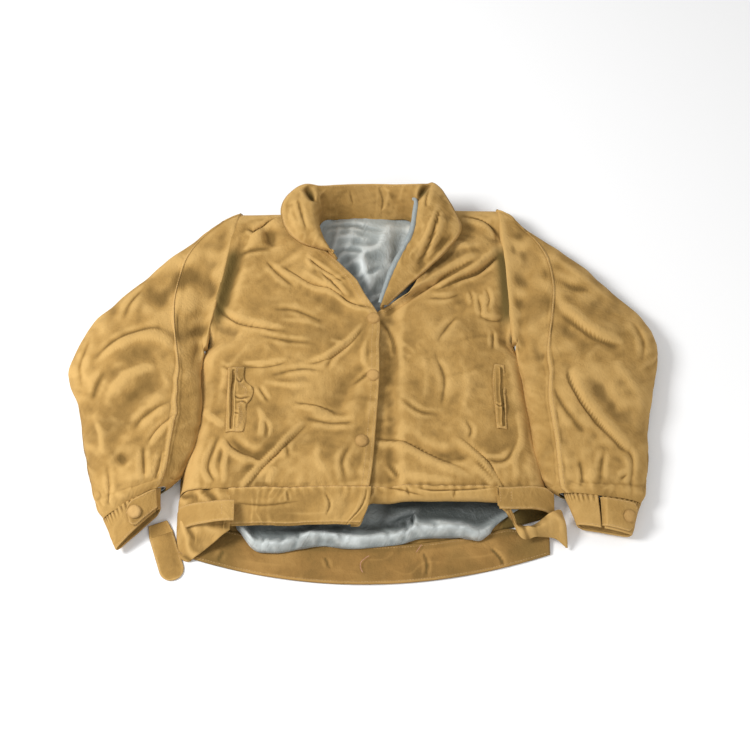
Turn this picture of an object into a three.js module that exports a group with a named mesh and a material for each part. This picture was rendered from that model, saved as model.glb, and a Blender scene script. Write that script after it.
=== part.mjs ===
import * as THREE from 'three';

// A leather blouson jacket that lies on its back, front closed at the hem and open at the neck.
// +X is the wearer's left, +Y points to the collar, +Z is up. All sizes are in millimetres.

// Driving sizes.
const chestHalf = 256; // centre line to the side seam, at the chest
const bodyLength = 680; // lowest point of the back hem to the top of the collar
const crown = 52; // height of the front above the table, on the centre line
const sideRadius = 45; // rounding of the body's sides
const shoulderRadius = 30;
const sideDrop = 10; // how much lower the front is at the side seam
const leather = 2; // hide thickness
const liningCloth = 1;
const plyGap = 0.5; // air between two plies that lie on each other
const pocketRoom = 3.4; // air between front hide and lining, where the pocket bag lies
const bandWidth = 60; // waistband, seam to edge
const bandThickness = 4;
const frontRise = 81; // how far the front hem has ridden up above the back hem
const seamGap = 1; // gap in plan between two pieces that meet at a seam or fold
const strapWidth = 34;
const strapThickness = 3;
const tailLength = 77;
const cuffWidth = 50;
const sleeveFullness = 1; // height of the sleeves, as a share of a well filled sleeve
const tabLift = 6.5; // room between a cuff and the tab that is snapped over it
const capRadius = 11;
const capHeight = 2.6;
const socketRadius = 7;
const socketHeight = 2.2;
const studRadius = 2.6;
const studFlange = 6.5;
const studFlangeHeight = 1;
const snapClearance = 0.9; // round the stud, in its socket
const weltWidth = 19;
const weltLength = 108;
const weltThickness = 3;
const overlapAtHem = 20; // how far the left front reaches past the centre line, under the right

// The pattern is drawn for a chest of 256 and a length of 680, and graded from there.
const gradeX = (x) => (x * chestHalf) / 256;
const gradeY = (y) => (y * bodyLength) / 680;

const backHemY = -bodyLength / 2;
const frontHemY = backHemY + frontRise;
const waistY = frontHemY + bandWidth;
const armpitY = gradeY(40);
const vPointY = gradeY(112);
const sideSeamZ = 2 * leather + plyGap;

const hide = new THREE.MeshStandardMaterial({ color: 0xc29a5f, roughness: 0.92, metalness: 0 });
const innerHide = new THREE.MeshStandardMaterial({ color: 0xa8844c, roughness: 0.95, metalness: 0 });
const satin = new THREE.MeshStandardMaterial({ color: 0xaab2b0, roughness: 0.5, metalness: 0 });
const brass = new THREE.MeshStandardMaterial({ color: 0xb08d4a, roughness: 0.35, metalness: 1 });
const pocketCloth = new THREE.MeshStandardMaterial({ color: 0x8c8f86, roughness: 0.9, metalness: 0 });

const jacket = new THREE.Group();
jacket.name = 'leather_jacket';

// Linear interpolation in a list of [position, value] pairs that rises in position.
function along(table, at) {
  const last = table.length - 1;
  if (at <= table[0][0]) return table[0][1];
  if (at >= table[last][0]) return table[last][1];
  const k = table.findIndex(([position]) => position > at);
  const [p0, v0] = table[k - 1];
  const [p1, v1] = table[k];
  return v0 + ((v1 - v0) * (at - p0)) / (p1 - p0);
}

const mix = (a, b, t) => a + (b - a) * t;
const unit = (t) => Math.min(Math.max(t, 0), 1);
const ease = (t) => unit(t) ** 2 * (3 - 2 * unit(t));
const quarterRound = (t) => Math.sqrt(1 - (1 - unit(t)) ** 2);
const steps = (count) => Array.from({ length: count + 1 }, (_, k) => k / count);

// A closed sheet from two facing grids of points with the same rows and columns.
function closedSheet(name, material, outer, inner) {
  const columns = outer[0].length;
  const flat = [...outer.flat(), ...inner.flat()];
  const half = outer.length * columns;
  const triangles = [];
  const quad = (a, b, c, d) => triangles.push(a, b, c, a, c, d);
  for (let i = 0; i + 1 < outer.length; i += 1) {
    for (let j = 0; j + 1 < columns; j += 1) {
      const a = i * columns + j;
      quad(a, a + 1, a + columns + 1, a + columns);
      quad(half + a, half + a + columns, half + a + columns + 1, half + a + 1);
    }
  }
  const rim = [];
  for (let j = 0; j < columns; j += 1) rim.push(j);
  for (let i = 1; i < outer.length; i += 1) rim.push(i * columns + columns - 1);
  for (let j = columns - 2; j >= 0; j -= 1) rim.push((outer.length - 1) * columns + j);
  for (let i = outer.length - 2; i > 0; i -= 1) rim.push(i * columns);
  rim.forEach((a, k) => {
    const b = rim[(k + 1) % rim.length];
    quad(b, a, half + a, half + b);
  });
  return addSolid(name, material, flat, triangles);
}

// A mesh from points and triangles, turned so that its faces point out.
function addSolid(name, material, points, triangles) {
  let volume = 0;
  for (let t = 0; t < triangles.length; t += 3) {
    const [a, b, c] = [0, 1, 2].map((k) => points[triangles[t + k]]);
    volume += a.dot(b.clone().cross(c));
  }
  if (volume < 0) triangles.reverse();
  const geometry = new THREE.BufferGeometry().setFromPoints(points);
  geometry.setIndex(triangles);
  geometry.computeVertexNormals();
  const mesh = new THREE.Mesh(geometry, material);
  mesh.name = name;
  jacket.add(mesh);
  return mesh;
}

const lowered = (rows, drop) => rows.map((row) => row.map((p) => p.clone().setZ(p.z - drop)));

// Height of the front's outer face above the table.
function frontTop(x, y) {
  const profile = [
    [frontHemY, crown - 16],
    [waistY, crown - 5],
    [mix(waistY, 0, 0.5), crown - 1],
    [0, crown],
    [gradeY(200), crown],
    [gradeY(306), crown - 6],
  ];
  return along(profile, y) - sideDrop * (x / chestHalf) ** 2;
}

// The two sides. Each has its own drape: outlines are [y, distance from the centre line] pairs,
// and sleeve sections are [outer x, outer y, inner x, inner y, outer z, inner z, top, seam share].
const right = {
  name: 'right',
  sign: -1,
  shoulderTop: gradeY(306),
  side: [
    [waistY, 286],
    [waistY + 30, 276],
    [waistY + 70, 262],
    [gradeY(-90), 256],
    [armpitY, 256],
    [gradeY(200), 228],
    [gradeY(306), 213],
  ],
  neck: [
    [gradeY(160), 12],
    [gradeY(205), 52],
    [gradeY(230), 76],
    [gradeY(262), 104],
    [gradeY(306), 112],
  ],
  foldTop: [12, gradeY(160)],
  foldHem: 170,
  placket: [
    [frontHemY, 8],
    [waistY, -8],
    [gradeY(-93), -19],
    [gradeY(-14), -28],
    [gradeY(40), -29],
    [gradeY(110), -27],
    [gradeY(140), -8],
    [gradeY(160), 8],
  ],
  sections: [
    [217, 303, 263, 44, 24, 24, 38, 0.04],
    [291, 242, 268, 1, 24, 30, 50, 0.12],
    [374, 164, 263, -40, 18, 34, 58, 0.7],
    [447, 86, 262, -57, 17, 34, 64, 0.83],
    [474, 8, 263, -72, 17, 33, 66, 0.86],
    [456, -45, 264, -90, 16, 32, 62, 0.86],
    [439, -119, 272, -129, 17, 29, 56, 0.84],
    [424, -180, 288, -169, 18, 27, 50, 0.88],
    [402, -245, 309, -190, 19, 26, 42, 0.93],
  ],
  cuffEnd: [380, -293, 308, -222, 14, 20, 34],
  tab: { root: 150, tip: 78, snap: 92 },
};
const left = {
  name: 'left',
  sign: 1,
  shoulderTop: gradeY(314),
  side: [
    [waistY, 286],
    [waistY + 30, 274],
    [waistY + 70, 261],
    [gradeY(-62), 253],
    [gradeY(13), 243],
    [gradeY(49), 242],
    [gradeY(200), 236],
    [gradeY(314), 228],
  ],
  neck: [
    [gradeY(136), 66],
    [gradeY(165), 82],
    [gradeY(205), 96],
    [gradeY(240), 114],
    [gradeY(275), 122],
    [gradeY(314), 122],
  ],
  foldTop: [66, gradeY(136)],
  foldHem: 200,
  placket: [
    [frontHemY, -overlapAtHem],
    [gradeY(-100), -overlapAtHem + 2],
    [gradeY(0), -6],
    [gradeY(60), 4],
    [gradeY(95), 9],
    [gradeY(114), 30],
    [gradeY(136), 60],
  ],
  sections: [
    [232, 311, 249, 53, 24, 24, 38, 0.04],
    [301, 246, 252, 13, 24, 30, 50, 0.14],
    [377, 187, 257, -12, 18, 34, 58, 0.7],
    [450, 105, 260, -40, 17, 34, 64, 0.83],
    [474, 46, 263, -62, 17, 33, 66, 0.88],
    [463, -13, 267, -85, 16, 32, 62, 0.88],
    [447, -92, 272, -136, 17, 29, 56, 0.86],
    [440, -160, 284, -180, 18, 27, 50, 0.9],
    [430, -218, 303, -203, 19, 26, 42, 0.95],
  ],
  cuffEnd: [411, -275, 322, -258, 14, 20, 34],
  tab: { root: 95, tip: 30, snap: 48 },
};
const sides = [right, left];

// The crease that each front folds back along, from the neck to the hem.
function foldX(side, y) {
  const [topX, topY] = side.foldTop;
  return mix(gradeX(side.foldHem), gradeX(topX), (y - frontHemY) / (topY - frontHemY));
}

const sideX = (side, y) => gradeX(along(side.side, y));

// The left front dips where it runs under the edge of the right one.
const snapStack = leather + liningCloth + 3 * plyGap + socketHeight + studFlangeHeight + 1.4;
function leftDip(x) {
  return snapStack * ease((gradeX(62) - x) / gradeX(26));
}

// Height of the front, with the rounded side and shoulder edges. Inset moves the edges inwards.
function frontZ(side, distance, y, inset) {
  const open = frontTop(distance, y);
  const sideRound = quarterRound((sideX(side, y) - inset - distance) / sideRadius);
  const sideFoot = mix(sideSeamZ, open, ease((y - armpitY) / gradeY(45)));
  const topRound = quarterRound((side.shoulderTop - inset - y) / shoulderRadius);
  const shouldered = mix(sideFoot, open, sideRound);
  return mix(sideSeamZ, shouldered, topRound);
}

// One part of a front between two outlines, as rows from the waist seam to the top.
function frontRows(side, yLevels, innerEdge, outerEdge, columns, inset) {
  return yLevels.map((y) => {
    const from = innerEdge(y);
    const to = outerEdge(y);
    return columns.map((share) => {
      const distance = mix(from, to, share);
      const dip = side === left ? leftDip(distance) : 0;
      const z = frontZ(side, Math.abs(distance), y, inset) - dip;
      return new THREE.Vector3(side.sign * distance, y, z);
    });
  });
}

const flapColumns = steps(5);
const sideColumns = [0, 0.25, 0.5, 0.7, 0.84, 0.92, 0.97, 1];

// Fronts: the outer part stays on the body, and the inner part opens about the crease.
sides.forEach((side) => {
  const [, foldTopY] = side.foldTop;
  const top = side.shoulderTop;
  const bodyLevels = [0, 0.28, 0.52, 0.72].map((t) => mix(waistY + seamGap, armpitY, t));
  const sideLevels = (inset) => [
    ...bodyLevels,
    armpitY,
    gradeY(70),
    gradeY(100),
    foldTopY,
    gradeY(205),
    gradeY(240),
    ...[1, 0.53, 0.2, 0].map((share) => top - inset - share * shoulderRadius),
  ];
  const neckEdge = (y) => (y < foldTopY ? foldX(side, y) : gradeX(along(side.neck, y)));
  const outerEdge = (inset) => (y) => sideX(side, y) - inset;
  const sideInset = leather + 4;
  const hideRows = frontRows(
    side, sideLevels(0), (y) => neckEdge(y) + seamGap / 2, outerEdge(0), sideColumns, 0);
  closedSheet(`front_${side.name}_side`, hide, hideRows, lowered(hideRows, leather));
  const clothRows = frontRows(
    side, sideLevels(sideInset), (y) => neckEdge(y) + seamGap / 2, outerEdge(sideInset), sideColumns, sideInset);
  const clothTop = lowered(clothRows, leather + pocketRoom);
  const clothLift = clothTop.map((row) => row.map((p) => p.setZ(Math.max(p.z, sideSeamZ + 2))));
  closedSheet(`front_${side.name}_side_lining`, satin, clothLift, lowered(clothLift, liningCloth));

  const flapTop = foldTopY - 2;
  const flapLevels = [0, 0.2, 0.4, 0.6, 0.76, 0.88, 1].map((t) => mix(waistY + seamGap, flapTop, t));
  const edge = (y) => gradeX(along(side.placket, y));
  const crease = (y) => foldX(side, y) - seamGap / 2;
  const flapRows = frontRows(side, flapLevels, edge, crease, flapColumns, 0);
  closedSheet(`front_${side.name}_flap`, hide, flapRows, lowered(flapRows, leather));
  const facingTop = lowered(flapRows.slice(0, 5).map((row) => row.slice(0, 3)), leather + plyGap);
  closedSheet(`front_${side.name}_facing`, innerHide, facingTop, lowered(facingTop, liningCloth));
  const flapCloth = frontRows(side, flapLevels.slice(0, 5), edge, crease, [0.44, 0.6, 0.8, 1], 0);
  const flapClothTop = lowered(flapCloth, leather + pocketRoom);
  closedSheet(`front_${side.name}_flap_lining`, satin, flapClothTop, lowered(flapClothTop, liningCloth));
});

// Front waistbands, each in a part beside the crease and a part on the flap.
const bandLevels = [frontHemY, mix(frontHemY, waistY, 0.5), waistY];
const bandEnd = gradeX(206);
sides.forEach((side) => {
  const fixed = frontRows(side, bandLevels, (y) => foldX(side, y) + seamGap / 2, () => bandEnd, steps(2), -60);
  closedSheet(`waistband_${side.name}_side`, hide, fixed, lowered(fixed, bandThickness));
  const edge = (y) => gradeX(along(side.placket, y));
  const free = frontRows(side, bandLevels, edge, (y) => foldX(side, y) - seamGap / 2, steps(4), -60);
  closedSheet(`waistband_${side.name}_flap`, hide, free, lowered(free, bandThickness));
});

// The gathered piece of waistband that runs down over each hip to the back.
sides.forEach((side) => {
  const ribs = [
    [bandEnd + seamGap, waistY, frontHemY - 3, 40, 31],
    [gradeX(232), waistY - 5, frontHemY - 22, 35, 22],
    [gradeX(260), waistY - 10, frontHemY - 34, 28, 14],
    [gradeX(277), waistY - 16, frontHemY - 38, 20, 9],
  ];
  const rows = steps(2).map((t) =>
    ribs.map(([x, topY, lowY, topZ, lowZ]) =>
      new THREE.Vector3(side.sign * x, mix(lowY, topY, t), mix(lowZ, topZ, t)),
    ),
  );
  closedSheet(`waistband_${side.name}_hip`, hide, rows, lowered(rows, bandThickness));
});

// Waist straps: stitched down at the front, running out over the hip.
const strapTopY = waistY - 22;
sides.forEach((side) => {
  const ribs = [
    [gradeX(196), 49, 0],
    [gradeX(208), 48, 0],
    [gradeX(232), 44, -1],
    [gradeX(260), 37, -3],
    [gradeX(283), 29, -6],
  ];
  const rows = [-strapWidth, 0].map((y) =>
    ribs.map(([x, z, shift]) => new THREE.Vector3(side.sign * x, strapTopY + y + shift, z)),
  );
  closedSheet(`waist_strap_${side.name}`, hide, rows, lowered(rows, strapThickness));
});

// The strap from the back of the right hip: a sewn base, and a free tail that lies on the table.
const tailRootX = -gradeX(311);
const tailRootY = frontHemY - 1;
const tailTurn = THREE.MathUtils.degToRad(19);
const tailHalf = strapWidth / 2 + 2;
const strapFrame = new THREE.Group();
strapFrame.position.set(tailRootX, tailRootY, 0);
strapFrame.rotation.z = tailTurn;
jacket.add(strapFrame);
function strapBlank(name, outline, z) {
  const geometry = new THREE.ExtrudeGeometry(outline, {
    depth: strapThickness,
    bevelEnabled: false,
    curveSegments: 8,
  });
  const mesh = new THREE.Mesh(geometry, hide);
  mesh.name = name;
  mesh.position.z = z;
  strapFrame.add(mesh);
}
const tailOutline = new THREE.Shape();
tailOutline.moveTo(-tailHalf, -seamGap);
tailOutline.lineTo(-tailHalf, -(tailLength - tailHalf));
tailOutline.absarc(0, -(tailLength - tailHalf), tailHalf, Math.PI, 2 * Math.PI, false);
tailOutline.lineTo(tailHalf, -seamGap);
tailOutline.closePath();
strapBlank('strap_tail_right', tailOutline, 0);
const baseOutline = new THREE.Shape();
baseOutline.moveTo(-tailHalf, 0);
baseOutline.lineTo(tailHalf, 0);
baseOutline.lineTo(tailHalf, 18);
baseOutline.lineTo(-tailHalf + 8, 18);
baseOutline.closePath();
strapBlank('strap_base_right', baseOutline, 0);

// Back: one hide panel with its lining, and the back waistband.
const backRise = (x) => gradeX(43) * (x / gradeX(270)) ** 2;
const backShares = [-1, -0.8, -0.55, -0.28, 0, 0.28, 0.55, 0.8, 1];
function backRows(levels, inset, z) {
  return levels.map((t) =>
    backShares.map((share) => {
      const side = share < 0 ? right : left;
      const waist = backHemY + bandWidth + seamGap;
      const y = mix(waist, side.shoulderTop - inset, t);
      const distance = Math.abs(share) * (sideX(side, Math.max(y, waistY)) - inset);
      const rise = mix(backRise(distance), 0, t);
      return new THREE.Vector3(Math.sign(share) * distance, y + rise, z);
    }),
  );
}
const backLevels = [0, 0.25, 0.5, 0.62, 0.8, 1];
const backTop = backRows(backLevels, 0, leather);
closedSheet('back_panel', hide, backTop, lowered(backTop, leather));
const backCloth = backRows(backLevels, leather + 14, leather + plyGap + liningCloth);
closedSheet('back_lining', satin, backCloth, lowered(backCloth, liningCloth));
const backBand = [0, 0.5, 1].map((t) =>
  backShares.map((share) => {
    const x = share * gradeX(262);
    return new THREE.Vector3(x, backHemY + backRise(x) + t * bandWidth, bandThickness);
  }),
);
closedSheet('waistband_back', hide, backBand, lowered(backBand, bandThickness));

// Collar: a strip from the neck seam over the roll to the free edge, in three pieces.
// Each station gives seam, roll and edge points as [distance, y, z].
const stand = [
  [[-62, 300, 10], [-64, 316, 44], [-68, 337, 66]],
  [[-30, 304, 8], [-31, 321, 38], [-33, 339, 61]],
  [[0, 305, 8], [0, 322, 36], [0, 340, 60]],
  [[30, 304, 8], [31, 321, 38], [33, 339, 61]],
  [[62, 300, 10], [64, 316, 44], [68, 337, 66]],
];
const rightLobe = [
  [[66, 299, 12], [70, 314, 50], [84, 332, 71]],
  [[76, 285, 14], [86, 296, 62], [116, 322, 70]],
  [[77, 262, 18], [86, 270, 72], [140, 297, 57]],
  [[66, 232, 24], [74, 232, 70], [122, 250, 57]],
  [[56, 216, 34], [62, 217, 64], [98, 228, 58]],
  [[46, 206, 50], [50, 208, 60], [56, 213, 58]],
];
const leftLobe = [
  [[66, 299, 12], [70, 316, 52], [80, 334, 75]],
  [[78, 290, 14], [88, 300, 70], [116, 332, 74]],
  [[80, 264, 20], [88, 268, 76], [143, 294, 60]],
  [[74, 232, 26], [82, 232, 72], [140, 246, 57]],
  [[62, 200, 32], [70, 200, 68], [112, 208, 58]],
  [[56, 172, 36], [60, 172, 66], [99, 176, 58]],
  [[56, 156, 40], [58, 158, 64], [82, 160, 58]],
];
function collarPiece(name, stations, sign) {
  const rows = stations.map((points) => {
    const [seam, roll, edge] = points.map(([x, y, z]) => new THREE.Vector3(sign * gradeX(x), gradeY(y), z));
    const arc = new THREE.CatmullRomCurve3([seam, roll, edge]);
    return steps(5).map((t) => arc.getPoint(t));
  });
  closedSheet(name, hide, rows, lowered(rows, bandThickness));
}
collarPiece('collar_stand', stand, 1);
collarPiece('collar_right_lobe', rightLobe, -1);
collarPiece('collar_left_lobe', leftLobe, 1);
const revers = [
  [[30, 119, 55], [38, 122, 58], [48, 122, 56]],
  [[40, 130, 55], [46, 130, 59], [60, 130, 56]],
];
collarPiece('front_left_revers', revers, 1);

// Pockets: a welt round each slit, and the bag that lies flat behind it.
sides.forEach((side) => {
  const x = gradeX(side === right ? 202 : 214);
  const topY = gradeY(side === right ? 4 : 10);
  const welt = [topY - weltLength, topY - weltLength / 2, topY].map((y) =>
    [x - weltWidth / 2, x, x + weltWidth / 2].map((distance) => {
      const z = frontTop(x, y) + weltThickness + plyGap + 1;
      const fall = frontTop(distance, y) - frontTop(x, y);
      return new THREE.Vector3(side.sign * distance, y, z + fall);
    }),
  );
  closedSheet(`pocket_welt_${side.name}`, hide, welt, lowered(welt, weltThickness));
});
sides.forEach((side) => {
  const x = gradeX(side === right ? 196 : 200);
  const topY = gradeY(side === right ? 2 : 8);
  const bag = steps(3).map((t) =>
    steps(2).map((u) => {
      const y = mix(topY - weltLength - 30, topY, t);
      const distance = mix(Math.max(x - 56, foldX(side, y) + 6), x, u);
      return new THREE.Vector3(side.sign * distance, y, frontTop(distance, y) - leather - 1.2);
    }),
  );
  closedSheet(`pocket_bag_${side.name}`, pocketCloth, bag, lowered(bag, liningCloth));
});

// Sleeves. A point on a section: 0 degrees is the outer edge, 90 the top, 180 the inner edge.
function readSection(side, [outerX, outerY, innerX, innerY, outerZ, innerZ, top]) {
  return {
    outer: new THREE.Vector3(side.sign * gradeX(outerX), gradeY(outerY), outerZ),
    inner: new THREE.Vector3(side.sign * gradeX(innerX), gradeY(innerY), innerZ),
    top: top * sleeveFullness,
  };
}
function sectionPoint(section, degrees, inset) {
  const angle = THREE.MathUtils.degToRad(degrees);
  const { outer, inner, top } = section;
  const centre = outer.clone().lerp(inner, 0.5);
  const half = outer.clone().sub(inner).setZ(0).multiplyScalar(0.5);
  const width = half.length();
  half.multiplyScalar((width - inset) / width);
  const middle = mix(outer.z, inner.z, (1 - Math.cos(angle)) / 2);
  const point = centre.addScaledVector(half, Math.cos(angle));
  const rise = Math.sin(angle);
  const above = middle + (top - (outer.z + inner.z) / 2 - inset) * rise;
  const below = mix(middle, inset, Math.min(1, -1.6 * rise));
  return point.setZ(rise >= 0 ? above : below);
}
const seamAngle = (share) => THREE.MathUtils.radToDeg(Math.acos(1 - 2 * share));
function sleevePanel(name, material, sections, spans, count, outset) {
  const grid = (inset) =>
    sections.map((section, i) =>
      steps(count).map((t) => sectionPoint(section, mix(spans[i][0], spans[i][1], t), inset)),
    );
  const [faceInset, thickness] = outset;
  return closedSheet(name, material, grid(faceInset), grid(faceInset + thickness));
}
sides.forEach((side) => {
  const sections = side.sections.map((row) => readSection(side, row));
  const seams = side.sections.map((row) => seamAngle(row[7]));
  const wall = [0, leather];
  const upper = seams.map((seam) => [-14, seam - 0.5]);
  const front = seams.map((seam) => [seam + 0.5, 194]);
  const under = seams.map(() => [196, 344]);
  sleevePanel(`sleeve_${side.name}_upper`, hide, sections, upper, 8, wall);
  sleevePanel(`sleeve_${side.name}_front`, hide, sections, front, 5, wall);
  sleevePanel(`sleeve_${side.name}_under`, innerHide, sections, under, 5, wall);
  const lined = seams.map(() => [4, 350]);
  sleevePanel(`sleeve_${side.name}_lining`, satin, sections, lined, 12, [leather + 8, liningCloth]);
});

// Cuffs: an open band round the wrist, whose end is a tab snapped down over it.
function cuffSections(side) {
  const start = readSection(side, side.sections.at(-1));
  const end = readSection(side, side.cuffEnd);
  const reach = end.outer.clone().sub(start.outer).setZ(0).length();
  const at = (t) => ({
    outer: start.outer.clone().lerp(end.outer, t),
    inner: start.inner.clone().lerp(end.inner, t),
    top: mix(start.top, end.top, t),
  });
  return [at((1.5 * plyGap) / reach + 0.01), at((cuffWidth + 3) / reach)];
}

// A body of revolution standing on its foot, turned to a direction.
function turned(name, material, profile, foot, direction) {
  const outline = profile.map(([radius, height]) => new THREE.Vector2(radius, height));
  const mesh = new THREE.Mesh(new THREE.LatheGeometry(outline, 16), material);
  mesh.name = name;
  const holder = new THREE.Group();
  holder.position.copy(foot);
  holder.quaternion.setFromUnitVectors(new THREE.Vector3(0, 1, 0), direction);
  holder.add(mesh);
  jacket.add(holder);
}
const capProfile = [
  [0, 0],
  [capRadius - 0.6, 0],
  [capRadius, capHeight * 0.35],
  [capRadius * 0.8, capHeight * 0.8],
  [0, capHeight],
];
const socketHole = studRadius + snapClearance;
const socketProfile = [
  [socketHole, 0],
  [socketRadius, 0],
  [socketRadius, socketHeight],
  [socketHole, socketHeight],
  [socketHole, 0],
];
const studHeight = studFlangeHeight + 0.6 + socketHeight * 0.5;
const studProfile = [
  [0, 0],
  [studFlange, 0],
  [studFlange, studFlangeHeight],
  [studRadius * 0.85, studFlangeHeight],
  [studRadius, studHeight * 0.85],
  [studRadius * 0.6, studHeight],
  [0, studHeight],
];

// A whole press stud: cap above the upper ply, socket below it, stud on the ply underneath.
// The depths are measured down from the upper ply's outer face.
function pressStud(label, face, direction, socketDepth, studDepth) {
  const down = (depth) => face.clone().addScaledVector(direction, -depth);
  turned(`snap_cap_${label}`, hide, capProfile, down(-plyGap - 0.3), direction);
  turned(`snap_socket_${label}`, brass, socketProfile, down(socketDepth + socketHeight), direction);
  turned(`snap_stud_${label}`, brass, studProfile, down(studDepth), direction);
}

const angleStep = (from, to, count) => steps(count).map((t) => mix(from, to, t));
sides.forEach((side) => {
  const [start, end] = cuffSections(side);
  const { root, tip, snap } = side.tab;
  const slot = root - 4;
  const bandAngles = angleStep(slot, slot - 352, 16);
  const ring = (inset) => [start, end].map((s) => bandAngles.map((a) => sectionPoint(s, a, inset)));
  closedSheet(`cuff_${side.name}_band`, hide, ring(tabLift), ring(tabLift + bandThickness - 1));
  const tabAngles = angleStep(root, tip, 6);
  const trim = [0.06, 0.94].map((t) => ({
    outer: start.outer.clone().lerp(end.outer, t),
    inner: start.inner.clone().lerp(end.inner, t),
    top: mix(start.top, end.top, t),
  }));
  const plate = (inset) => trim.map((s) => tabAngles.map((a) => sectionPoint(s, a, inset)));
  closedSheet(`cuff_${side.name}_tab`, hide, plate(-leather), plate(0));
  const corner = (section, a) => sectionPoint(section, a, -leather);
  const face = corner(trim[0], snap).lerp(corner(trim[1], snap), 0.5);
  const across = corner(trim[0], snap + 8).sub(corner(trim[0], snap - 8));
  const lengthwise = corner(trim[1], snap).sub(corner(trim[0], snap));
  const direction = across.cross(lengthwise).normalize();
  if (direction.z < 0) direction.negate();
  const socketDepth = leather + plyGap;
  const studDepth = leather + tabLift - 3 * plyGap;
  pressStud(`cuff_${side.name}`, face, direction, socketDepth, studDepth);
});

// Front closure: caps and sockets on the right front, studs on the left one.
const frontSnaps = [
  [gradeY(89), 13],
  [gradeY(-13), 14],
  [gradeY(-124), 19],
];
frontSnaps.forEach(([y, inset], k) => {
  const x = -gradeX(along(right.placket, y)) - inset;
  const z = frontTop(x, y);
  const slopeY = (frontTop(x, y + 8) - frontTop(x, y - 8)) / 16;
  const direction = new THREE.Vector3(0, -slopeY, 1).normalize();
  const socketDepth = leather + liningCloth + 2 * plyGap;
  const studDepth = snapStack - plyGap;
  pressStud(`front_${k + 1}`, new THREE.Vector3(x, y, z), direction, socketDepth, studDepth);
});

export default jacket;
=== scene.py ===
import math

import bpy
import numpy as np
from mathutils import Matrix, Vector


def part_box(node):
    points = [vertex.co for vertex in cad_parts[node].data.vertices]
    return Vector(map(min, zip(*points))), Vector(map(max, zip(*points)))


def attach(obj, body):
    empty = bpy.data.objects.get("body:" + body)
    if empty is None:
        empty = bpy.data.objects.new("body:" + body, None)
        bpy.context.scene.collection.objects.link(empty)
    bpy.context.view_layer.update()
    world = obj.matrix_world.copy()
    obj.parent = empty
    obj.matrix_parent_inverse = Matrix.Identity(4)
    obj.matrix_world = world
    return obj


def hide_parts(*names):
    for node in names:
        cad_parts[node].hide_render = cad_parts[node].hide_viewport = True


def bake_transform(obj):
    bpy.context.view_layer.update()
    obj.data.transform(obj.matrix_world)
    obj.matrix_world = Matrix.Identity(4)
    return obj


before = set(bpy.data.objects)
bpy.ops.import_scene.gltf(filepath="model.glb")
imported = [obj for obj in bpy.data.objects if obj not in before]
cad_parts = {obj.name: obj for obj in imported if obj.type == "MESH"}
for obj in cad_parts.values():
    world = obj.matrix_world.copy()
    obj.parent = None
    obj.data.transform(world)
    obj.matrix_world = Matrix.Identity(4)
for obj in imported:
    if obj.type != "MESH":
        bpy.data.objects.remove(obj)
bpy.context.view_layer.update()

# Camera
# It looks down at the front of the jacket, which lies on its back.
look_at = Vector((0.017, 0.0035, 0.020))
look_down = math.radians(64)
camera = bpy.data.objects.new("camera", bpy.data.cameras.new("camera"))
camera.data.lens = 72
camera.data.sensor_width = 36
camera.location = look_at + 2.4 * Vector((0, -math.cos(look_down), math.sin(look_down)))
camera.rotation_euler = (math.radians(90) - look_down, 0, 0)
bpy.context.scene.collection.objects.link(camera)
bpy.context.scene.camera = camera

# Back panel
# One hide that lies flat on the table from the waist seam to the shoulders. The pattern is
# drawn in millimetres, as lists of [position, value] that a smooth line goes through.
MM = 0.001
HIDE = 2.0
WAIST_Y = -199.0
BACK_HEM_Y = -340.0
BAND = 60.0
ARMPIT_Y = 40.0


def drawn(table, at):
    """The smooth line through a list of [position, value], read at any positions."""
    at = np.asarray(at, float)
    places, values = np.array(table, float).T
    slopes = np.gradient(values, places)
    k = np.clip(np.searchsorted(places, at) - 1, 0, len(places) - 2)
    gap = places[k + 1] - places[k]
    t = np.clip((at - places[k]) / gap, 0, 1)
    start = (2 * t**3 - 3 * t**2 + 1) * values[k] + (t**3 - 2 * t**2 + t) * gap * slopes[k]
    return start + (3 * t**2 - 2 * t**3) * values[k + 1] + (t**3 - t**2) * gap * slopes[k + 1]


def ease(t):
    t = np.clip(t, 0, 1)
    return t * t * (3 - 2 * t)


def mix(a, b, t):
    return a + (b - a) * t


def rough(x, y, size, seed, octaves=3):
    """Smooth seeded unevenness between about -1 and 1, with lumps of the given size."""
    turns = np.random.default_rng(seed).uniform(0, 2 * math.pi, (64, 64))
    total = np.zeros_like(x, dtype=float)
    strength, reach = 1.0, 0.0
    for octave in range(octaves):
        u = x / size * 2**octave + 7.3 * octave
        v = y / size * 2**octave + 3.1 * octave
        i, j = np.floor(u).astype(int), np.floor(v).astype(int)
        fu, fv = u - i, v - j
        corners = []
        for di in (0, 1):
            for dj in (0, 1):
                turn = turns[(i + di) % 64, (j + dj) % 64]
                corners.append(np.cos(turn) * (fu - di) + np.sin(turn) * (fv - dj))
        low = mix(corners[0], corners[1], ease(fv))
        high = mix(corners[2], corners[3], ease(fv))
        total += strength * mix(low, high, ease(fu))
        reach += strength
        strength *= 0.5
    return total * 1.6 / reach


def crumple(x, y, size, seed, turn=0.0, stretch=2.2):
    """Sharp-crested seeded creases that run mostly in one direction, turned in degrees."""
    angle = math.radians(turn)
    u = x * math.cos(angle) + y * math.sin(angle)
    v = -x * math.sin(angle) + y * math.cos(angle)
    bend = rough(x, y, size * 2.2, seed + 50, 2) * size * 0.5
    crest = np.clip(1 - np.abs(rough(u / stretch, v + bend, size, seed, 2)) * 3.2, 0, 1) ** 1.3
    patch = ease(0.3 + 1.5 * rough(x, y, size * 2.4, seed + 90, 1))
    return (crest - 0.2) * patch


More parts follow.
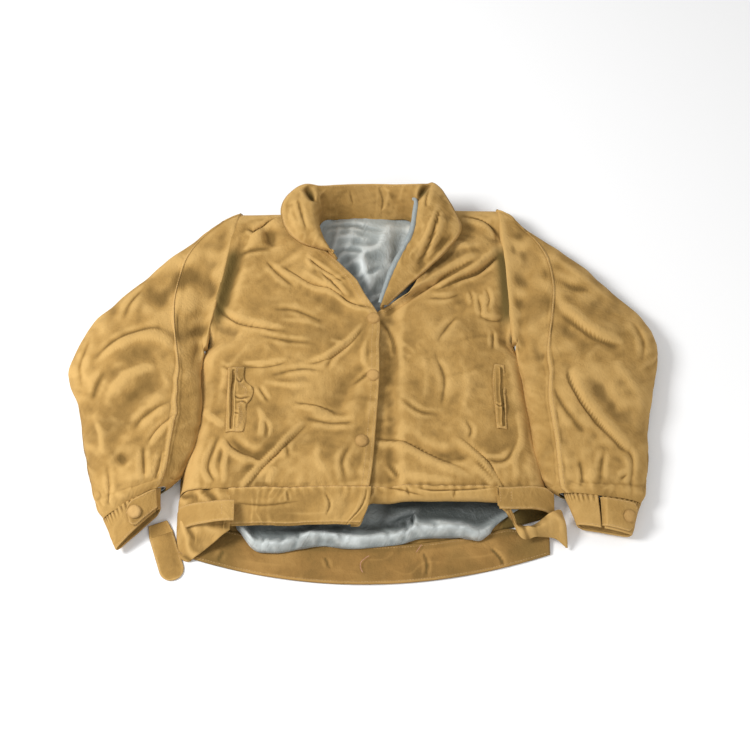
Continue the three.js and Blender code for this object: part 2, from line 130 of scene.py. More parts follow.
def path_through(points, count=26):
    """A smooth plan path through a few points."""
    points = np.array(points, float)
    knots = np.arange(len(points))
    at = np.linspace(0, len(points) - 1, count)
    if len(points) == 2:
        return np.stack([np.interp(at, knots, points[:, k]) for k in (0, 1)], 1)
    return np.stack([drawn(list(zip(knots, points[:, k])), at) for k in (0, 1)], 1)


def fold_lift(x, y, points, width):
    """Share of a fold's height at each point, its distance across in widths, and its normal."""
    path = path_through(points)
    best = np.full(x.shape, 1e9)
    side = np.zeros(x.shape)
    run = np.zeros(x.shape)
    across = np.zeros(x.shape + (2,))
    for k in range(len(path) - 1):
        start, step = path[k], path[k + 1] - path[k]
        length = math.hypot(*step)
        t = np.clip(((x - start[0]) * step[0] + (y - start[1]) * step[1]) / length**2, 0, 1)
        dx, dy = x - start[0] - t * step[0], y - start[1] - t * step[1]
        away = np.hypot(dx, dy)
        near = away < best
        normal = np.array([-step[1], step[0]]) / length
        best = np.where(near, away, best)
        side = np.where(near, np.sign(dx * normal[0] + dy * normal[1]), side)
        run = np.where(near, (k + t) / (len(path) - 1), run)
        across[near] = normal
    taper = np.sin(math.pi * np.clip(run, 0, 1)) ** 0.9
    return taper, side * best / width, across


def lay_folds(grid, folds, weight=1.0):
    """Presses folds into a sheet: each is [kind, width, height, points of its line]."""
    x, y = grid[..., 0].copy(), grid[..., 1].copy()
    for kind, width, height, points in folds:
        taper, u, across = fold_lift(x, y, points, width)
        if kind == "ridge":
            lift = np.exp(-1.1 * np.abs(u) ** 1.35)
        elif kind == "hollow":
            lift = -np.exp(-(u**2))
        elif kind == "crease":
            lift = -np.exp(-2.2 * np.abs(u)) + 0.3 * np.exp(-((np.abs(u) - 1.2) ** 2))
        else:
            lift = np.where(u > 0, np.exp(-0.9 * np.abs(u) ** 1.2), np.exp(-((u / 0.22) ** 2)))
            lift = lift - 0.4 * np.exp(-(((u + 0.7) / 0.4) ** 2))
            lean = height * 0.6 * taper * np.exp(-(u**2)) * weight
            grid[..., 0] -= across[..., 0] * lean
            grid[..., 1] -= across[..., 1] * lean
        grid[..., 2] += lift * height * taper * weight
    return grid


def facing_of(grid, sign=1):
    """Unit normals of a grid of points."""
    normal = np.cross(np.gradient(grid, axis=1), np.gradient(grid, axis=0)) * sign
    return normal / np.maximum(np.linalg.norm(normal, axis=2, keepdims=True), 1e-9)


def soften(grid, passes):
    """The grid with each point drawn towards its neighbours."""
    for _ in range(passes):
        padded = np.pad(grid, ((1, 1), (0, 0), (0, 0)), mode="reflect", reflect_type="odd")
        grid = (padded[:-2] + 2 * padded[1:-1] + padded[2:]) / 4
        padded = np.pad(grid, ((0, 0), (1, 1), (0, 0)), mode="reflect", reflect_type="odd")
        grid = (padded[:, :-2] + 2 * padded[:, 1:-1] + padded[:, 2:]) / 4
    return grid


def linear(r, g, b):
    """A colour given as 0 to 255 on a screen, as the shader wants it."""
    return tuple(((c / 255 + 0.055) / 1.055) ** 2.4 if c > 10 else c / 3294 for c in (r, g, b)) + (1,)


def cut_piece(name, grid, sign, material, thick=HIDE, loop=False, shade_and_stain=None):
    """A sheet made from a grid of points, with its pattern as UVs, its ridges and creases stored for pale
    wear and painted shade, and its painted shade and stains stored.
    """
    rows, columns = grid.shape[:2]
    wide = columns if loop else columns - 1
    ring = np.arange(rows * columns).reshape(rows, columns)
    right_of = np.roll(ring, -1, axis=1)
    a, b = ring[:-1, :wide], right_of[:-1, :wide]
    c, d = right_of[1:, :wide], ring[1:, :wide]
    faces = np.stack([a, b, c, d] if sign > 0 else [a, d, c, b], -1).reshape(-1, 4)
    mesh = bpy.data.meshes.new(name)
    mesh.from_pydata((grid.reshape(-1, 3) * MM).tolist(), [], faces.tolist())
    place = sum(map(ord, name)) % 89 * 37
    u = grid[..., 0] + 0.7 * np.sign(grid[..., 0].mean()) * grid[..., 2] + place
    v = grid[..., 1] - 0.8 * grid[..., 2]
    flat = np.stack([u, v], -1).reshape(-1, 2) * MM
    corner = np.empty(len(mesh.loops), int)
    mesh.loops.foreach_get("vertex_index", corner)
    mesh.uv_layers.new(name="pattern").data.foreach_set("uv", flat[corner].ravel())
    normal = facing_of(grid, sign)
    fine = np.sum((grid - soften(grid, 3)) * normal, axis=2)
    broad = np.sum((grid - soften(grid, 24)) * normal, axis=2)
    # Ridges above zero, creases below: the suede is rubbed pale on its ridges and given painted shade in its
    # creases; the satin gets painted highlight on its ridges and painted shade in its creases.
    rubbed = np.clip(fine / 0.5 + broad / 5.0, -1, 1)
    wear_and_shade = mesh.attributes.new("wear_and_shade", "FLOAT", "POINT")
    wear_and_shade.data.foreach_set("value", rubbed.ravel())
    # Painted shade, with random stains on the back band, stored for the material to darken.
    if shade_and_stain is not None:
        shade_and_stain_tone = mesh.attributes.new("shade_and_stain", "FLOAT", "POINT")
        shade_and_stain_tone.data.foreach_set("value", np.clip(shade_and_stain + 0 * rubbed, 0, 1).ravel())
    mesh.polygons.foreach_set("use_smooth", [True] * len(mesh.polygons))
    mesh.materials.append(material)
    piece = bpy.data.objects.new(name, mesh)
    bpy.context.scene.collection.objects.link(piece)
    if thick:
        plies = piece.modifiers.new("thickness", "SOLIDIFY")
        plies.thickness = thick * MM
        plies.offset = -1
        plies.use_even_offset = False
    return piece


def new_material(name, roughness):
    material = bpy.data.materials.new(name)
    material.use_nodes = True
    shader = material.node_tree.nodes["Principled BSDF"]
    shader.inputs["Roughness"].default_value = roughness
    return material, material.node_tree, shader


def noise_node(tree, scale, detail=3.0, roughness=0.6, warp=0.0):
    """Noise over the pattern, with a scale in lumps per metre."""
    pattern = tree.nodes.new("ShaderNodeUVMap")
    pattern.uv_map = "pattern"
    noise = tree.nodes.new("ShaderNodeTexNoise")
    noise.inputs["Scale"].default_value = scale
    noise.inputs["Detail"].default_value = detail
    noise.inputs["Roughness"].default_value = roughness
    noise.inputs["Distortion"].default_value = warp
    tree.links.new(pattern.outputs["UV"], noise.inputs["Vector"])
    return noise.outputs["Fac"]


def ramp_node(tree, source, stops):
    ramp = tree.nodes.new("ShaderNodeValToRGB")
    while len(ramp.color_ramp.elements) < len(stops):
        ramp.color_ramp.elements.new(0.5)
    for element, (place, colour) in zip(ramp.color_ramp.elements, stops):
        element.position = place
        element.color = colour
    tree.links.new(source, ramp.inputs["Fac"])
    return ramp.outputs["Color"]


def blend_node(tree, mode, share, first, second):
    """Mixes two colours; the share is a number or a socket."""
    node = tree.nodes.new("ShaderNodeMix")
    node.data_type = "RGBA"
    node.blend_type = mode
    for socket, value in ((node.inputs[0], share), (node.inputs[6], first), (node.inputs[7], second)):
        if isinstance(value, bpy.types.NodeSocket):
            tree.links.new(value, socket)
        else:
            socket.default_value = value
    return node.outputs[2]


def range_node(tree, source, low, high, to_low=0.0, to_high=1.0):
    node = tree.nodes.new("ShaderNodeMapRange")
    tree.links.new(source, node.inputs["Value"])
    for socket, value in zip(("From Min", "From Max", "To Min", "To Max"), (low, high, to_low, to_high)):
        node.inputs[socket].default_value = value
    return node.outputs["Result"]


def bump_node(tree, shader, layers):
    """Bumps the surface by layers of [height socket, depth in metres]."""
    last = None
    for height, depth in layers:
        bump = tree.nodes.new("ShaderNodeBump")
        bump.inputs["Distance"].default_value = depth
        tree.links.new(height, bump.inputs["Height"])
        if last:
            tree.links.new(last, bump.inputs["Normal"])
        last = bump.outputs["Normal"]
    tree.links.new(last, shader.inputs["Normal"])


def soiled(tree, colour, shade_and_stain_tone):
    """The colour darkened by the painted shade and the stains stored on the piece."""
    where = tree.nodes.new("ShaderNodeAttribute")
    where.attribute_name = "shade_and_stain"
    return blend_node(tree, "MIX", where.outputs["Fac"], colour, linear(*shade_and_stain_tone))


def suede(name, light, middle, dark, grime, sheen=0.12):
    """Split hide with a raised nap: rubbed pale on its ridges, with painted shade in its folds."""
    material, tree, shader = new_material(name, 0.93)
    shader.inputs["Specular IOR Level"].default_value = 0.18
    shader.inputs["Sheen Weight"].default_value = sheen
    shader.inputs["Sheen Roughness"].default_value = 0.55
    shader.inputs["Sheen Tint"].default_value = linear(*light)
    hide = ramp_node(
        tree,
        noise_node(tree, 9, 7, 0.62, 0.3),
        [(0.3, linear(*dark)), (0.5, linear(*middle)), (0.68, linear(*light))],
    )
    base = blend_node(tree, "MIX", 0.35, hide, linear(*middle))
    nap = ramp_node(
        tree,
        noise_node(tree, 620, 4, 0.7),
        [(0.3, (0.8, 0.8, 0.8, 1)), (0.7, (1.0, 1.0, 1.0, 1))],
    )
    napped = blend_node(tree, "MULTIPLY", 0.55, base, nap)
    tone_source = tree.nodes.new("ShaderNodeAttribute")
    tone_source.attribute_name = "wear_and_shade"
    rubbed = range_node(tree, tone_source.outputs["Fac"], 0.05, 1.0, 0.0, 0.7)
    pale = blend_node(tree, "MIX", rubbed, napped, linear(*light))
    # Painted shade: the hide is darker in its creases.
    painted_crease_shade = range_node(tree, tone_source.outputs["Fac"], -0.05, -1.0, 0.0, 0.8)
    shaded = blend_node(tree, "MIX", painted_crease_shade, pale, linear(*dark))
    spots = range_node(tree, noise_node(tree, 5.5, 5, 0.65, 0.8), 0.58, 0.76, 0.0, grime)
    stained = blend_node(tree, "MIX", spots, shaded, linear(*dark))
    tree.links.new(soiled(tree, stained, (98, 80, 40)), shader.inputs["Base Color"])
    bump_node(
        tree,
        shader,
        [
            (noise_node(tree, 55, 5, 0.62, 0.4), 0.0026),
            (noise_node(tree, 240, 4, 0.65), 0.0009),
            (noise_node(tree, 1300, 2, 0.6), 0.00025),
        ],
    )
    return material


hide_colour = suede("suede_hide", (203, 165, 102), (171, 134, 75), (104, 79, 38), 0.5)

SIDE_RIGHT = [[-199, 286], [-169, 276], [-129, 262], [-90, 256], [40, 256], [200, 228], [306, 213]]
SIDE_LEFT = [[-199, 286], [-169, 274], [-129, 261], [-62, 253], [13, 243], [49, 242], [200, 236], [314, 228]]
right = {"name": "right", "sign": -1, "top": 306.0, "side": SIDE_RIGHT}
left = {"name": "left", "sign": 1, "top": 314.0, "side": SIDE_LEFT}


def back_rise(x):
    """How far the back hem curves up towards the hips."""
    return 43 * (x / 270) ** 2


def back_grid(rows, columns, low, high, inset):
    """Points over the back, from the waist (0) to the shoulders (1), hip to hip."""
    t = np.linspace(low, high, rows)[:, None]
    share = np.linspace(-1, 1, columns)[None, :]
    top = np.where(share < 0, right["top"], left["top"]) - inset
    y = mix(BACK_HEM_Y + BAND + 1, top, t)
    reach = np.where(
        share < 0,
        drawn(SIDE_RIGHT, np.maximum(y, WAIST_Y)),
        drawn(SIDE_LEFT, np.maximum(y, WAIST_Y)),
    )
    x = share * (reach - inset)
    y = y + back_rise(x) * (1 - t)
    return np.stack([x, y, np.full_like(x, HIDE)], -1)


back = back_grid(110, 120, 0, 1, 0)
lumps = crumple(back[..., 0], back[..., 1], 55, 11, 20) + rough(back[..., 0], back[..., 1], 90, 12)
back[..., 2] += np.clip(lumps, 0, 2) * 0.8
# Painted shade: the lower corners, where they lie under the hips, are darkened.
shade_and_stain = ease((np.abs(back[..., 0]) - 200) / 15) * ease((-190 - back[..., 1]) / 20)
back_panel = cut_piece("back_hide", back, 1, hide_colour, HIDE - 0.2, shade_and_stain=shade_and_stain)
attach(back_panel, "root")
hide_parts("back_panel")

# Back lining
# Silver satin, cut full so that it puffs up and wrinkles between the hide and the wearer.
# It shows in the open neck, and again under the front hem where it has slipped down.
LINING = 0.6


def satin(name, light, middle, dark):
    """Woven satin: a soft sheen over fine threads, with small set creases, and painted highlight on its
    ridges and painted shade in its creases.
    """
    material, tree, shader = new_material(name, 0.42)
    shader.inputs["Specular IOR Level"].default_value = 0.55
    shader.inputs["Sheen Weight"].default_value = 0.35
    shader.inputs["Sheen Roughness"].default_value = 0.35
    tone_source = tree.nodes.new("ShaderNodeAttribute")
    tone_source.attribute_name = "wear_and_shade"
    # Painted highlight: the satin is lighter on its ridges.
    cloth = ramp_node(
        tree,
        tone_source.outputs["Fac"],
        [(0.0, linear(*middle)), (1.0, linear(*light))],
    )
    # Painted shade: the satin is darker in its creases.
    painted_crease_shade = range_node(tree, tone_source.outputs["Fac"], -0.1, -1.0, 0.0, 0.4)
    shaded = blend_node(tree, "MIX", painted_crease_shade, cloth, linear(*dark))
    faded = range_node(tree, noise_node(tree, 14, 5, 0.6, 0.5), 0.35, 0.7, 0.0, 0.5)
    aged = blend_node(tree, "MIX", faded, shaded, linear(*middle))
    tree.links.new(soiled(tree, aged, (44, 50, 48)), shader.inputs["Base Color"])
    pattern = tree.nodes.new("ShaderNodeUVMap")
    pattern.uv_map = "pattern"
    threads = tree.nodes.new("ShaderNodeTexWave")
    threads.inputs["Scale"].default_value = 420
    threads.inputs["Distortion"].default_value = 1.5
    tree.links.new(pattern.outputs["UV"], threads.inputs["Vector"])
    bump_node(
        tree,
        shader,
        [
            (noise_node(tree, 75, 5, 0.62, 0.9), 0.0022),
            (noise_node(tree, 320, 3, 0.6, 0.4), 0.0006),
            (threads.outputs["Fac"], 0.00005),
        ],
    )
    return material


lining_colour = satin("satin_lining", (206, 211, 208), (164, 171, 169), (84, 92, 92))

cloth = back_grid(190, 170, 0.02, 1.0, 0)
cloth[..., 0] *= mix(0.94, 1, ease((150 - np.abs(cloth[..., 0])) / 60))
cloth[..., 0] *= mix(1, 0.72, ease((-190 - cloth[..., 1]) / 30))
LINING_HEM = [
    [-250, -246], [-215, -250], [-191, -262], [-173, -284], [-139, -292], [-97, -286], [-60, -281],
    [-28, -285], [31, -281], [60, -277], [78, -271], [117, -268], [151, -269], [180, -274],
    [200, -262], [250, -240],
]
slipped = ease((-140 - cloth[..., 1]) / 100)
cloth[..., 1] += slipped * (drawn(LINING_HEM, cloth[..., 0]) - cloth[0, :, 1][None, :])
x, y = cloth[..., 0], cloth[..., 1]
above_hem = y - drawn(LINING_HEM, x)
open_neck = ease((y - 60) / 80) * ease((306 - y) / 26) * ease((150 - np.abs(x - 10)) / 60)
at_hem = ease((-232 - y) / 18) * ease((252 - np.abs(x)) / 50)
puff = 2 + 5 * open_neck
puff += (crumple(x, y, 52, 21, 60, 3) * 5 + rough(x, y, 85, 22, 3) * 9) * np.maximum(open_neck, 0.2)
puff += (crumple(x, y, 30, 23, 15, 3) * 3.5 + rough(x, y, 46, 24, 3) * 3) * at_hem
billow = 16 + 9 * rough(x, y * 0, 60, 25, 2)
billow += 9 * crumple(x, y, 34, 27, 75, 1.6) + 6 * crumple(x, y, 17, 28, 105, 1.6)
puff += billow * np.exp(-(((above_hem - 13) / 10) ** 2)) * ease((215 - np.abs(x)) / 30) - 2 * at_hem
cloth[..., 2] = HIDE + 1.2 + np.clip(puff, 0, 30)
lay_folds(
    cloth,
    [
        ["ridge", 15, 12, [(46, 300), (24, 250), (-4, 225), (8, 172), (16, 140)]],
        ["hollow", 11, 10, [(66, 296), (56, 246), (58, 205), (40, 165)]],
        ["crease", 6, 4, [(-70, 285), (-20, 290), (30, 278)]],
        ["ridge", 8, 4, [(-66, 262), (-20, 268), (14, 255)]],
        ["crease", 6, 4, [(-56, 236), (-20, 240), (0, 228)]],
        ["ridge", 8, 5, [(-44, 206), (-14, 214), (6, 196)]],
        ["crease", 5, 4, [(-20, 178), (6, 190), (26, 210)]],
        ["pleat", 7, 13, [(30, -244), (57, -228), (80, -224), (84, -244), (72, -270)]],
        ["ridge", 9, 10, [(84, -246), (117, -244), (151, -258), (180, -274)]],
        ["crease", 4, 9, [(62, -232), (66, -252), (58, -278)]],
        ["crease", 4, 7, [(-104, -258), (-100, -272), (-110, -286)]],
        ["pleat", 5, 7, [(-150, -262), (-146, -276), (-156, -290)]],
        ["crease", 3.5, 6, [(-40, -262), (-30, -272), (10, -276)]],
        ["ridge", 5, 5, [(-96, -264), (-50, -268), (-4, -264)]],
        ["crease", 4, 8, [(150, -262), (158, -272), (176, -276)]],
        ["crease", 5, 6, [(-128, -256), (-122, -270), (-134, -284)]],
        ["crease", 4, 5, [(-176, -250), (-164, -262), (-168, -276)]],
        ["crease", 5, 6, [(20, -250), (36, -262), (44, -280)]],
        ["crease", 4, 4, [(-60, -258), (0, -262), (40, -256)]],
        ["crease", 4, 4, [(130, -244), (150, -258), (176, -262)]],
    ],
)
floor = mix(HIDE + 1.0, 7, ease((-250 - y) / 14))
cloth[..., 2] = np.clip(cloth[..., 2], floor, 32)
cloth = soften(cloth, 1)
# Painted shade: the lining is darkened in the cavity under the front hem, in the strip beside the lapel,
# under the fronts, and in blotches near its hem.
cavity_shade = ease((above_hem - 22) / 12) * ease((-190 - y) / 12) * mix(0.5, 1, ease((x - 10) / 30))
UNDER_LAPEL = [[90, 26], [110, 30], [138, 39], [170, 50], [204, 68], [236, 84], [290, 90]]
cavity_shade += ease((x - drawn(UNDER_LAPEL, y) - 3) / 8) * ease((y - 90) / 15)
cavity_shade += 0.6 * ease((-80 - y) / 60) * ease((y + 200) / 20)
cavity_shade += np.clip(0.22 + 0.5 * rough(x, y, 30, 29, 3), 0, 1) * ease((-235 - y) / 20)
back_lining = cut_piece("back_lining_satin", cloth, 1, lining_colour, LINING, shade_and_stain=0.9 * cavity_shade)
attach(back_lining, "root")
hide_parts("back_lining")

# Fronts
# Each front is one piece of split hide from the neck and shoulder to the waist seam. It lies
# about 50 mm above the table, creased from years of wear.
ROUND = 45.0
SEAM_Z = 4.5
TOP_ROUND = 30.0
CROWN_LINE = [[-259, 36], [-199, 47], [-99.5, 51], [0, 52], [200, 52], [306, 46]]
SNAP_STACK = 9.1
right["neck"] = [[160, 12], [205, 52], [230, 76], [262, 92], [285, 92], [306, 88]]
right["placket"] = [
    [-259, 8], [-199, -8], [-93, -19], [-14, -24], [40, -24], [100, -21], [128, -4], [160, 12],
]
right["fold"] = ((12, 160), (170, -259))
left["neck"] = [[136, 66], [165, 82], [205, 92], [240, 94], [275, 94], [314, 90]]
left["placket"] = [
    [-259, -20], [-100, -18], [0, -6], [60, 4], [95, 9], [114, 30], [136, 66],
]
left["fold"] = ((66, 136), (200, -259))


def front_top(x, y):
    """Height of the front's outer face above the table, before its folds."""
    return drawn(CROWN_LINE, y) - 10 * (x / 256) ** 2


def quarter(t):
    return np.sqrt(1 - (1 - np.clip(t, 0, 1)) ** 2)


def body_side(side, y):
    """Distance of the side seam: below the armhole the front bulges under the sleeve."""
    return drawn(side["side"], y) + 14 * ease((ARMPIT_Y + 20 - y) / 40) * ease((y - WAIST_Y) / 60)


def front_height(side, distance, y, inset=0.0):
    """Height of a front at a distance from the centre line, with its rounded side and shoulder."""
    flat = front_top(distance, y)
    foot = mix(SEAM_Z, flat, ease((y - ARMPIT_Y) / 45))
    below_arm = ease((ARMPIT_Y + 20 - y) / 40)
    rounded = quarter((body_side(side, y) - inset - distance) / mix(ROUND, 30, below_arm))
    shoulder = quarter((side["top"] - inset - y) / TOP_ROUND)
    height = mix(SEAM_Z, mix(foot, flat, rounded), shoulder)
    if side is left:
        height = height - SNAP_STACK * ease((62 - distance) / 26)
    return height


def front_edge(side, y):
    """Distance of the front's free edge from the centre line: placket below, neck above."""
    corner = side["neck"][0][0]
    return np.where(y < corner, drawn(side["placket"], y), drawn(side["neck"], y))


def front_grid(side, rows, columns, low=WAIST_Y, inset=0.0):
    """Points over a front, rows from the waist seam up, columns from the free edge out."""
    top = side["top"] - inset
    spread = np.linspace(0, 1, rows)
    y = mix(low, top, spread + 0.05 * np.sin(2 * math.pi * spread) / math.pi)[:, None]
    near = np.array([0, 0.5, 1.3, 2.4, 4.0, 6.5])
    far = np.linspace(0, 1, columns - len(near) + 1)[1:]
    edge = front_edge(side, y)
    outer = body_side(side, y) - inset
    distance = np.concatenate([edge + near, mix(edge + near[-1], outer, far)], axis=1)
    y = np.broadcast_to(y, distance.shape).copy()
    z = front_height(side, np.abs(distance), y, inset)
    return np.stack([side["sign"] * distance, y, z], -1)


def roll_edge(grid, depth=2.6, reach=4.0):
    """Turns the free edge of a sheet down, as a folded hem does."""
    step = np.linalg.norm(np.diff(grid[:, :8], axis=1), axis=2)
    away = np.concatenate([np.zeros((grid.shape[0], 1)), np.cumsum(step, axis=1)], axis=1)
    grid[:, :8, 2] -= depth * (1 - quarter(away / reach))


def wrinkle_front(grid, side, seed):
    """Worn creases all over, a blouse above the waist seam and puckers along it."""
    x, y = grid[..., 0], grid[..., 1]
    sign = side["sign"]
    body = ease((body_side(side, y) - np.abs(x)) / 24) * ease((side["top"] - y) / 25)
    soft = rough(x, y, 110, seed, 3) * 5.5 + rough(x, y, 38, seed + 1, 3) * 1.6
    creases = crumple(x, y, 60, seed + 2, -40 * sign, 3.4) * 1.3
    creases -= crumple(x, y, 52, seed + 3, 15 * sign, 3.2) * 0.9
    creases += crumple(x, y, 26, seed + 5, -60 * sign, 3) * 0.5
    waist = np.exp(-np.maximum(y - WAIST_Y, 0) / 16)
    blouse = 3.0 * np.exp(-(((y - WAIST_Y - 26) / 20) ** 2))
    puckers = np.sin(x * 0.36 + 5 * rough(x, y, 50, seed + 4, 2)) * 0.5 * waist * ease((y - WAIST_Y) / 4)
    seam = -1.8 * np.exp(-(((y - WAIST_Y) / 4.0) ** 2))
    grid[..., 2] += (soft + creases) * body * (1 - 0.6 * waist) + blouse * body + puckers + seam


def drape(grid, sign, hold, grow, cap, sink=1.5, frames=14, stiff=6.0):
    """Lets a sheet, cut a little too full, buckle between the places that hold it.

    No point moves further than the cap, or sinks into its lining by more than the sink."""
    sheet = cut_piece("draping", grid, sign, hide_colour, 0)
    group = sheet.vertex_groups.new(name="hold")
    for index, strength in enumerate(hold.ravel()):
        if strength > 0.01:
            group.add([index], float(strength), "REPLACE")
    cloth = sheet.modifiers.new("cloth", "CLOTH").settings
    cloth.vertex_group_mass = "hold"
    cloth.quality = 5
    cloth.mass = 0.5
    cloth.tension_stiffness = 25
    cloth.compression_stiffness = 25
    cloth.bending_stiffness = stiff
    cloth.shrink_min = -grow
    cloth.pin_stiffness = 1
    cloth.effector_weights.gravity = 0.25
    scene = bpy.context.scene
    scene.frame_start = 1
    scene.frame_end = frames
    for step in range(1, frames + 1):
        scene.frame_set(step)
    settled = sheet.evaluated_get(bpy.context.evaluated_depsgraph_get()).to_mesh()
    points = np.empty(len(settled.vertices) * 3)
    settled.vertices.foreach_get("co", points)
    scene.frame_set(1)
    bpy.data.objects.remove(sheet)
    moved = soften(points.reshape(grid.shape) / MM - grid, 4)
    size = np.linalg.norm(moved, axis=2, keepdims=True)
    moved *= np.minimum(1, cap / np.maximum(size, 1e-6))
    normal = facing_of(grid, sign)
    lift = np.sum(moved * normal, axis=2, keepdims=True)
    return grid + moved + normal * (np.maximum(lift, sink * np.tanh(lift / sink)) - lift)


def open_front(piece, side):
    """Bakes a piece's transform into its mesh; the front's crease line is worked out but not used."""
    (top_x, top_y), (hem_x, hem_y) = side["fold"]
    sign = side["sign"]
    line = Vector((sign * (hem_x - top_x), hem_y - top_y, 0)).normalized()
    towards_edge = Vector((sign * line.y, -sign * line.x, 0))
    if towards_edge.x * sign > 0:
        towards_edge.negate()
    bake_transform(piece)


FOLDS_RIGHT = [
    ["pleat", 11, 9, [(-136, 296), (-152, 276), (-170, 258), (-186, 250), (-200, 262)]],
    ["hollow", 11, 10, [(-160, 272), (-156, 250), (-153, 224)]],
    ["hollow", 10, 9, [(-202, 240), (-211, 190), (-223, 136), (-233, 84)]],
    ["hollow", 11, 4, [(-240, 130), (-224, 112), (-206, 100)]],
    ["crease", 6, 3.5, [(-209, 215), (-183, 222), (-152, 224)]],
    ["ridge", 8, 3, [(-200, 236), (-176, 240), (-160, 250)]],
    ["crease", 6, 4.5, [(-163, 200), (-141, 174), (-112, 145)]],
    ["pleat", 7, 5, [(20, 100), (-22, 112), (-54, 136), (-92, 150), (-138, 184)]],
    ["hollow", 13, 4, [(-110, 150), (-60, 120), (-16, 96)]],
    ["ridge", 8, 3.5, [(-105, 180), (-64, 152), (-23, 132)]],
    ["crease", 4, 5.5, [(-74, 178), (-48, 151), (-30, 128)]],
    ["crease", 3, 4.5, [(-70, 168), (-46, 160), (-26, 168)]],
    ["crease", 4, 3.5, [(-98, 204), (-70, 182), (-40, 158)]],
    ["ridge", 6, 3.2, [(-90, 214), (-92, 196), (-84, 178)]],
    ["pleat", 9, 6, [(-246, 140), (-212, 100), (-176, 84), (-122, 72)]],
    ["hollow", 14, 7, [(-250, 100), (-228, 78), (-200, 62)]],
    ["crease", 5, 2.6, [(-170, 62), (-127, 51), (-76, 44)]],
    ["crease", 6, 2.6, [(-150, 108), (-110, 104), (-66, 84)]],
    ["ridge", 7, 2.2, [(-140, 88), (-96, 84), (-60, 70)]],
    ["pleat", 6, 5, [(-96, 10), (-60, 24), (-30, 46), (-4, 78)]],
    ["crease", 5, 4, [(-62, -2), (-47, 27), (-12, 56)]],
    ["ridge", 5, 3, [(-56, 52), (-30, 44), (-10, 60)]],
    ["pleat", 6, 3.4, [(-196, 12), (-159, 10), (-118, 18)]],
    ["crease", 5, 3, [(-150, -10), (-100, 0), (-64, -4)]],
    ["hollow", 20, 10, [(8, -2), (-26, -22), (-42, -52), (-46, -88)]],
    ["ridge", 7, 3.6, [(-166, -20), (-117, -28), (-78, -28)]],
    ["pleat", 6, 4.6, [(-46, -80), (-74, -70), (-112, -62)]],
    ["crease", 6, 4.4, [(-92, -85), (-53, -93), (-12, -92)]],
    ["crease", 3.5, 4.5, [(-168, -28), (-160, -41), (-150, -56)]],
    ["ridge", 8, 4.5, [(-168, -60), (-158, -88), (-166, -118)]],
    ["crease", 4, 4, [(-159, -84), (-152, -100), (-153, -116)]],
    ["pleat", 9, 9, [(-192, -206), (-157, -156), (-128, -124), (-92, -90)]],
    ["hollow", 9, 6, [(-112, -96), (-160, -146), (-196, -190)]],
    ["ridge", 6, 4, [(-136, -168), (-150, -196)]],
    ["pleat", 7, 7, [(-158, -158), (-191, -148), (-212, -134), (-220, -118)]],
    ["hollow", 8, 5, [(-212, -112), (-185, -138), (-158, -146)]],
    ["ridge", 4, 5, [(-214, -126), (-215, -163), (-214, -196)]],
    ["crease", 5, 6, [(-226, -110), (-240, -162), (-229, -190)]],
    ["ridge", 8, 4.5, [(-256, -66), (-238, -81), (-216, -100)]],
    ["crease", 5, 3.6, [(-122, -124), (-116, -152)]],
    ["ridge", 11, 3, [(-70, -120), (-72, -156), (-52, -188)]],
    ["crease", 6, 3, [(-20, -126), (-34, -158), (-28, -192)]],
    ["ridge", 6, 3, [(12, 80), (-2, 30), (2, -6)]],
    ["crease", 4, 4, [(22, -8), (4, -10), (-18, -26)]],
    ["ridge", 10, 3, [(-228, 30), (-222, -10), (-230, -60)]],
    ["crease", 5, 3, [(-228, 8), (-214, 2), (-206, 8)]],
]
FOLDS_LEFT = [
    ["pleat", 14, 13, [(26, 107), (57, 131), (97, 163), (146, 195), (186, 214)]],
    ["hollow", 15, 9, [(60, 146), (100, 180), (140, 208), (172, 218)]],
    ["pleat", 13, 11, [(112, 146), (150, 174), (179, 190), (208, 214), (228, 222)]],
    ["hollow", 18, 9, [(220, 190), (190, 168), (166, 144), (142, 110), (112, 74)]],
    ["crease", 4, 5, [(181, 136), (187, 114), (188, 94)]],
    ["crease", 3.5, 4, [(170, 146), (177, 118)]],
    ["crease", 4, 3.6, [(196, 152), (202, 128), (199, 112)]],
    ["crease", 7, 4, [(148, 96), (132, 74), (116, 48)]],
    ["pleat", 7, 4, [(184, 102), (205, 96), (224, 100)]],
    ["crease", 4, 4, [(205, 72), (206, 56), (204, 36)]],
    ["pleat", 8, 6, [(218, 244), (208, 262), (190, 276), (160, 286)]],
    ["hollow", 10, 6, [(205, 280), (222, 254), (226, 232)]],
    ["ridge", 10, 3.5, [(204, 236), (170, 228), (146, 238)]],
    ["pleat", 8, 7, [(166, -184), (105, -155), (62, -133), (14, -122)]],
    ["hollow", 12, 6, [(60, -110), (80, -131), (121, -148), (164, -150)]],
    ["pleat", 6, 7, [(218, -212), (199, -185), (179, -153), (142, -118)]],
    ["crease", 5, 6, [(172, -158), (194, -182), (208, -204)]],
    ["crease", 5, 5, [(178, -152), (214, -155), (234, -132)]],
    ["crease", 3.5, 4.5, [(157, -88), (166, -104), (162, -118)]],
    ["ridge", 8, 5, [(241, -66), (245, -116), (232, -150), (236, -188)]],
    ["hollow", 16, 5, [(26, 66), (44, 26), (42, -30)]],
    ["crease", 6, 3, [(24, 96), (44, 60), (52, 20)]],
    ["ridge", 14, 3, [(80, 60), (98, -6), (90, -66)]],
    ["crease", 6, 3, [(110, 30), (126, -16), (120, -66)]],
    ["ridge", 11, 3, [(150, 30), (163, -30), (150, -80)]],
    ["crease", 5, 3, [(52, -46), (84, -72), (118, -78)]],
    ["ridge", 8, 3.6, [(56, -178), (100, -186), (144, -190)]],
    ["crease", 4, 3.4, [(36, -158), (56, -186)]],
    ["crease", 5, 3, [(96, 130), (130, 128), (156, 140)]],
    ["hollow", 12, 6, [(222, 140), (222, 90), (226, 44)]],
]
fronts = {}
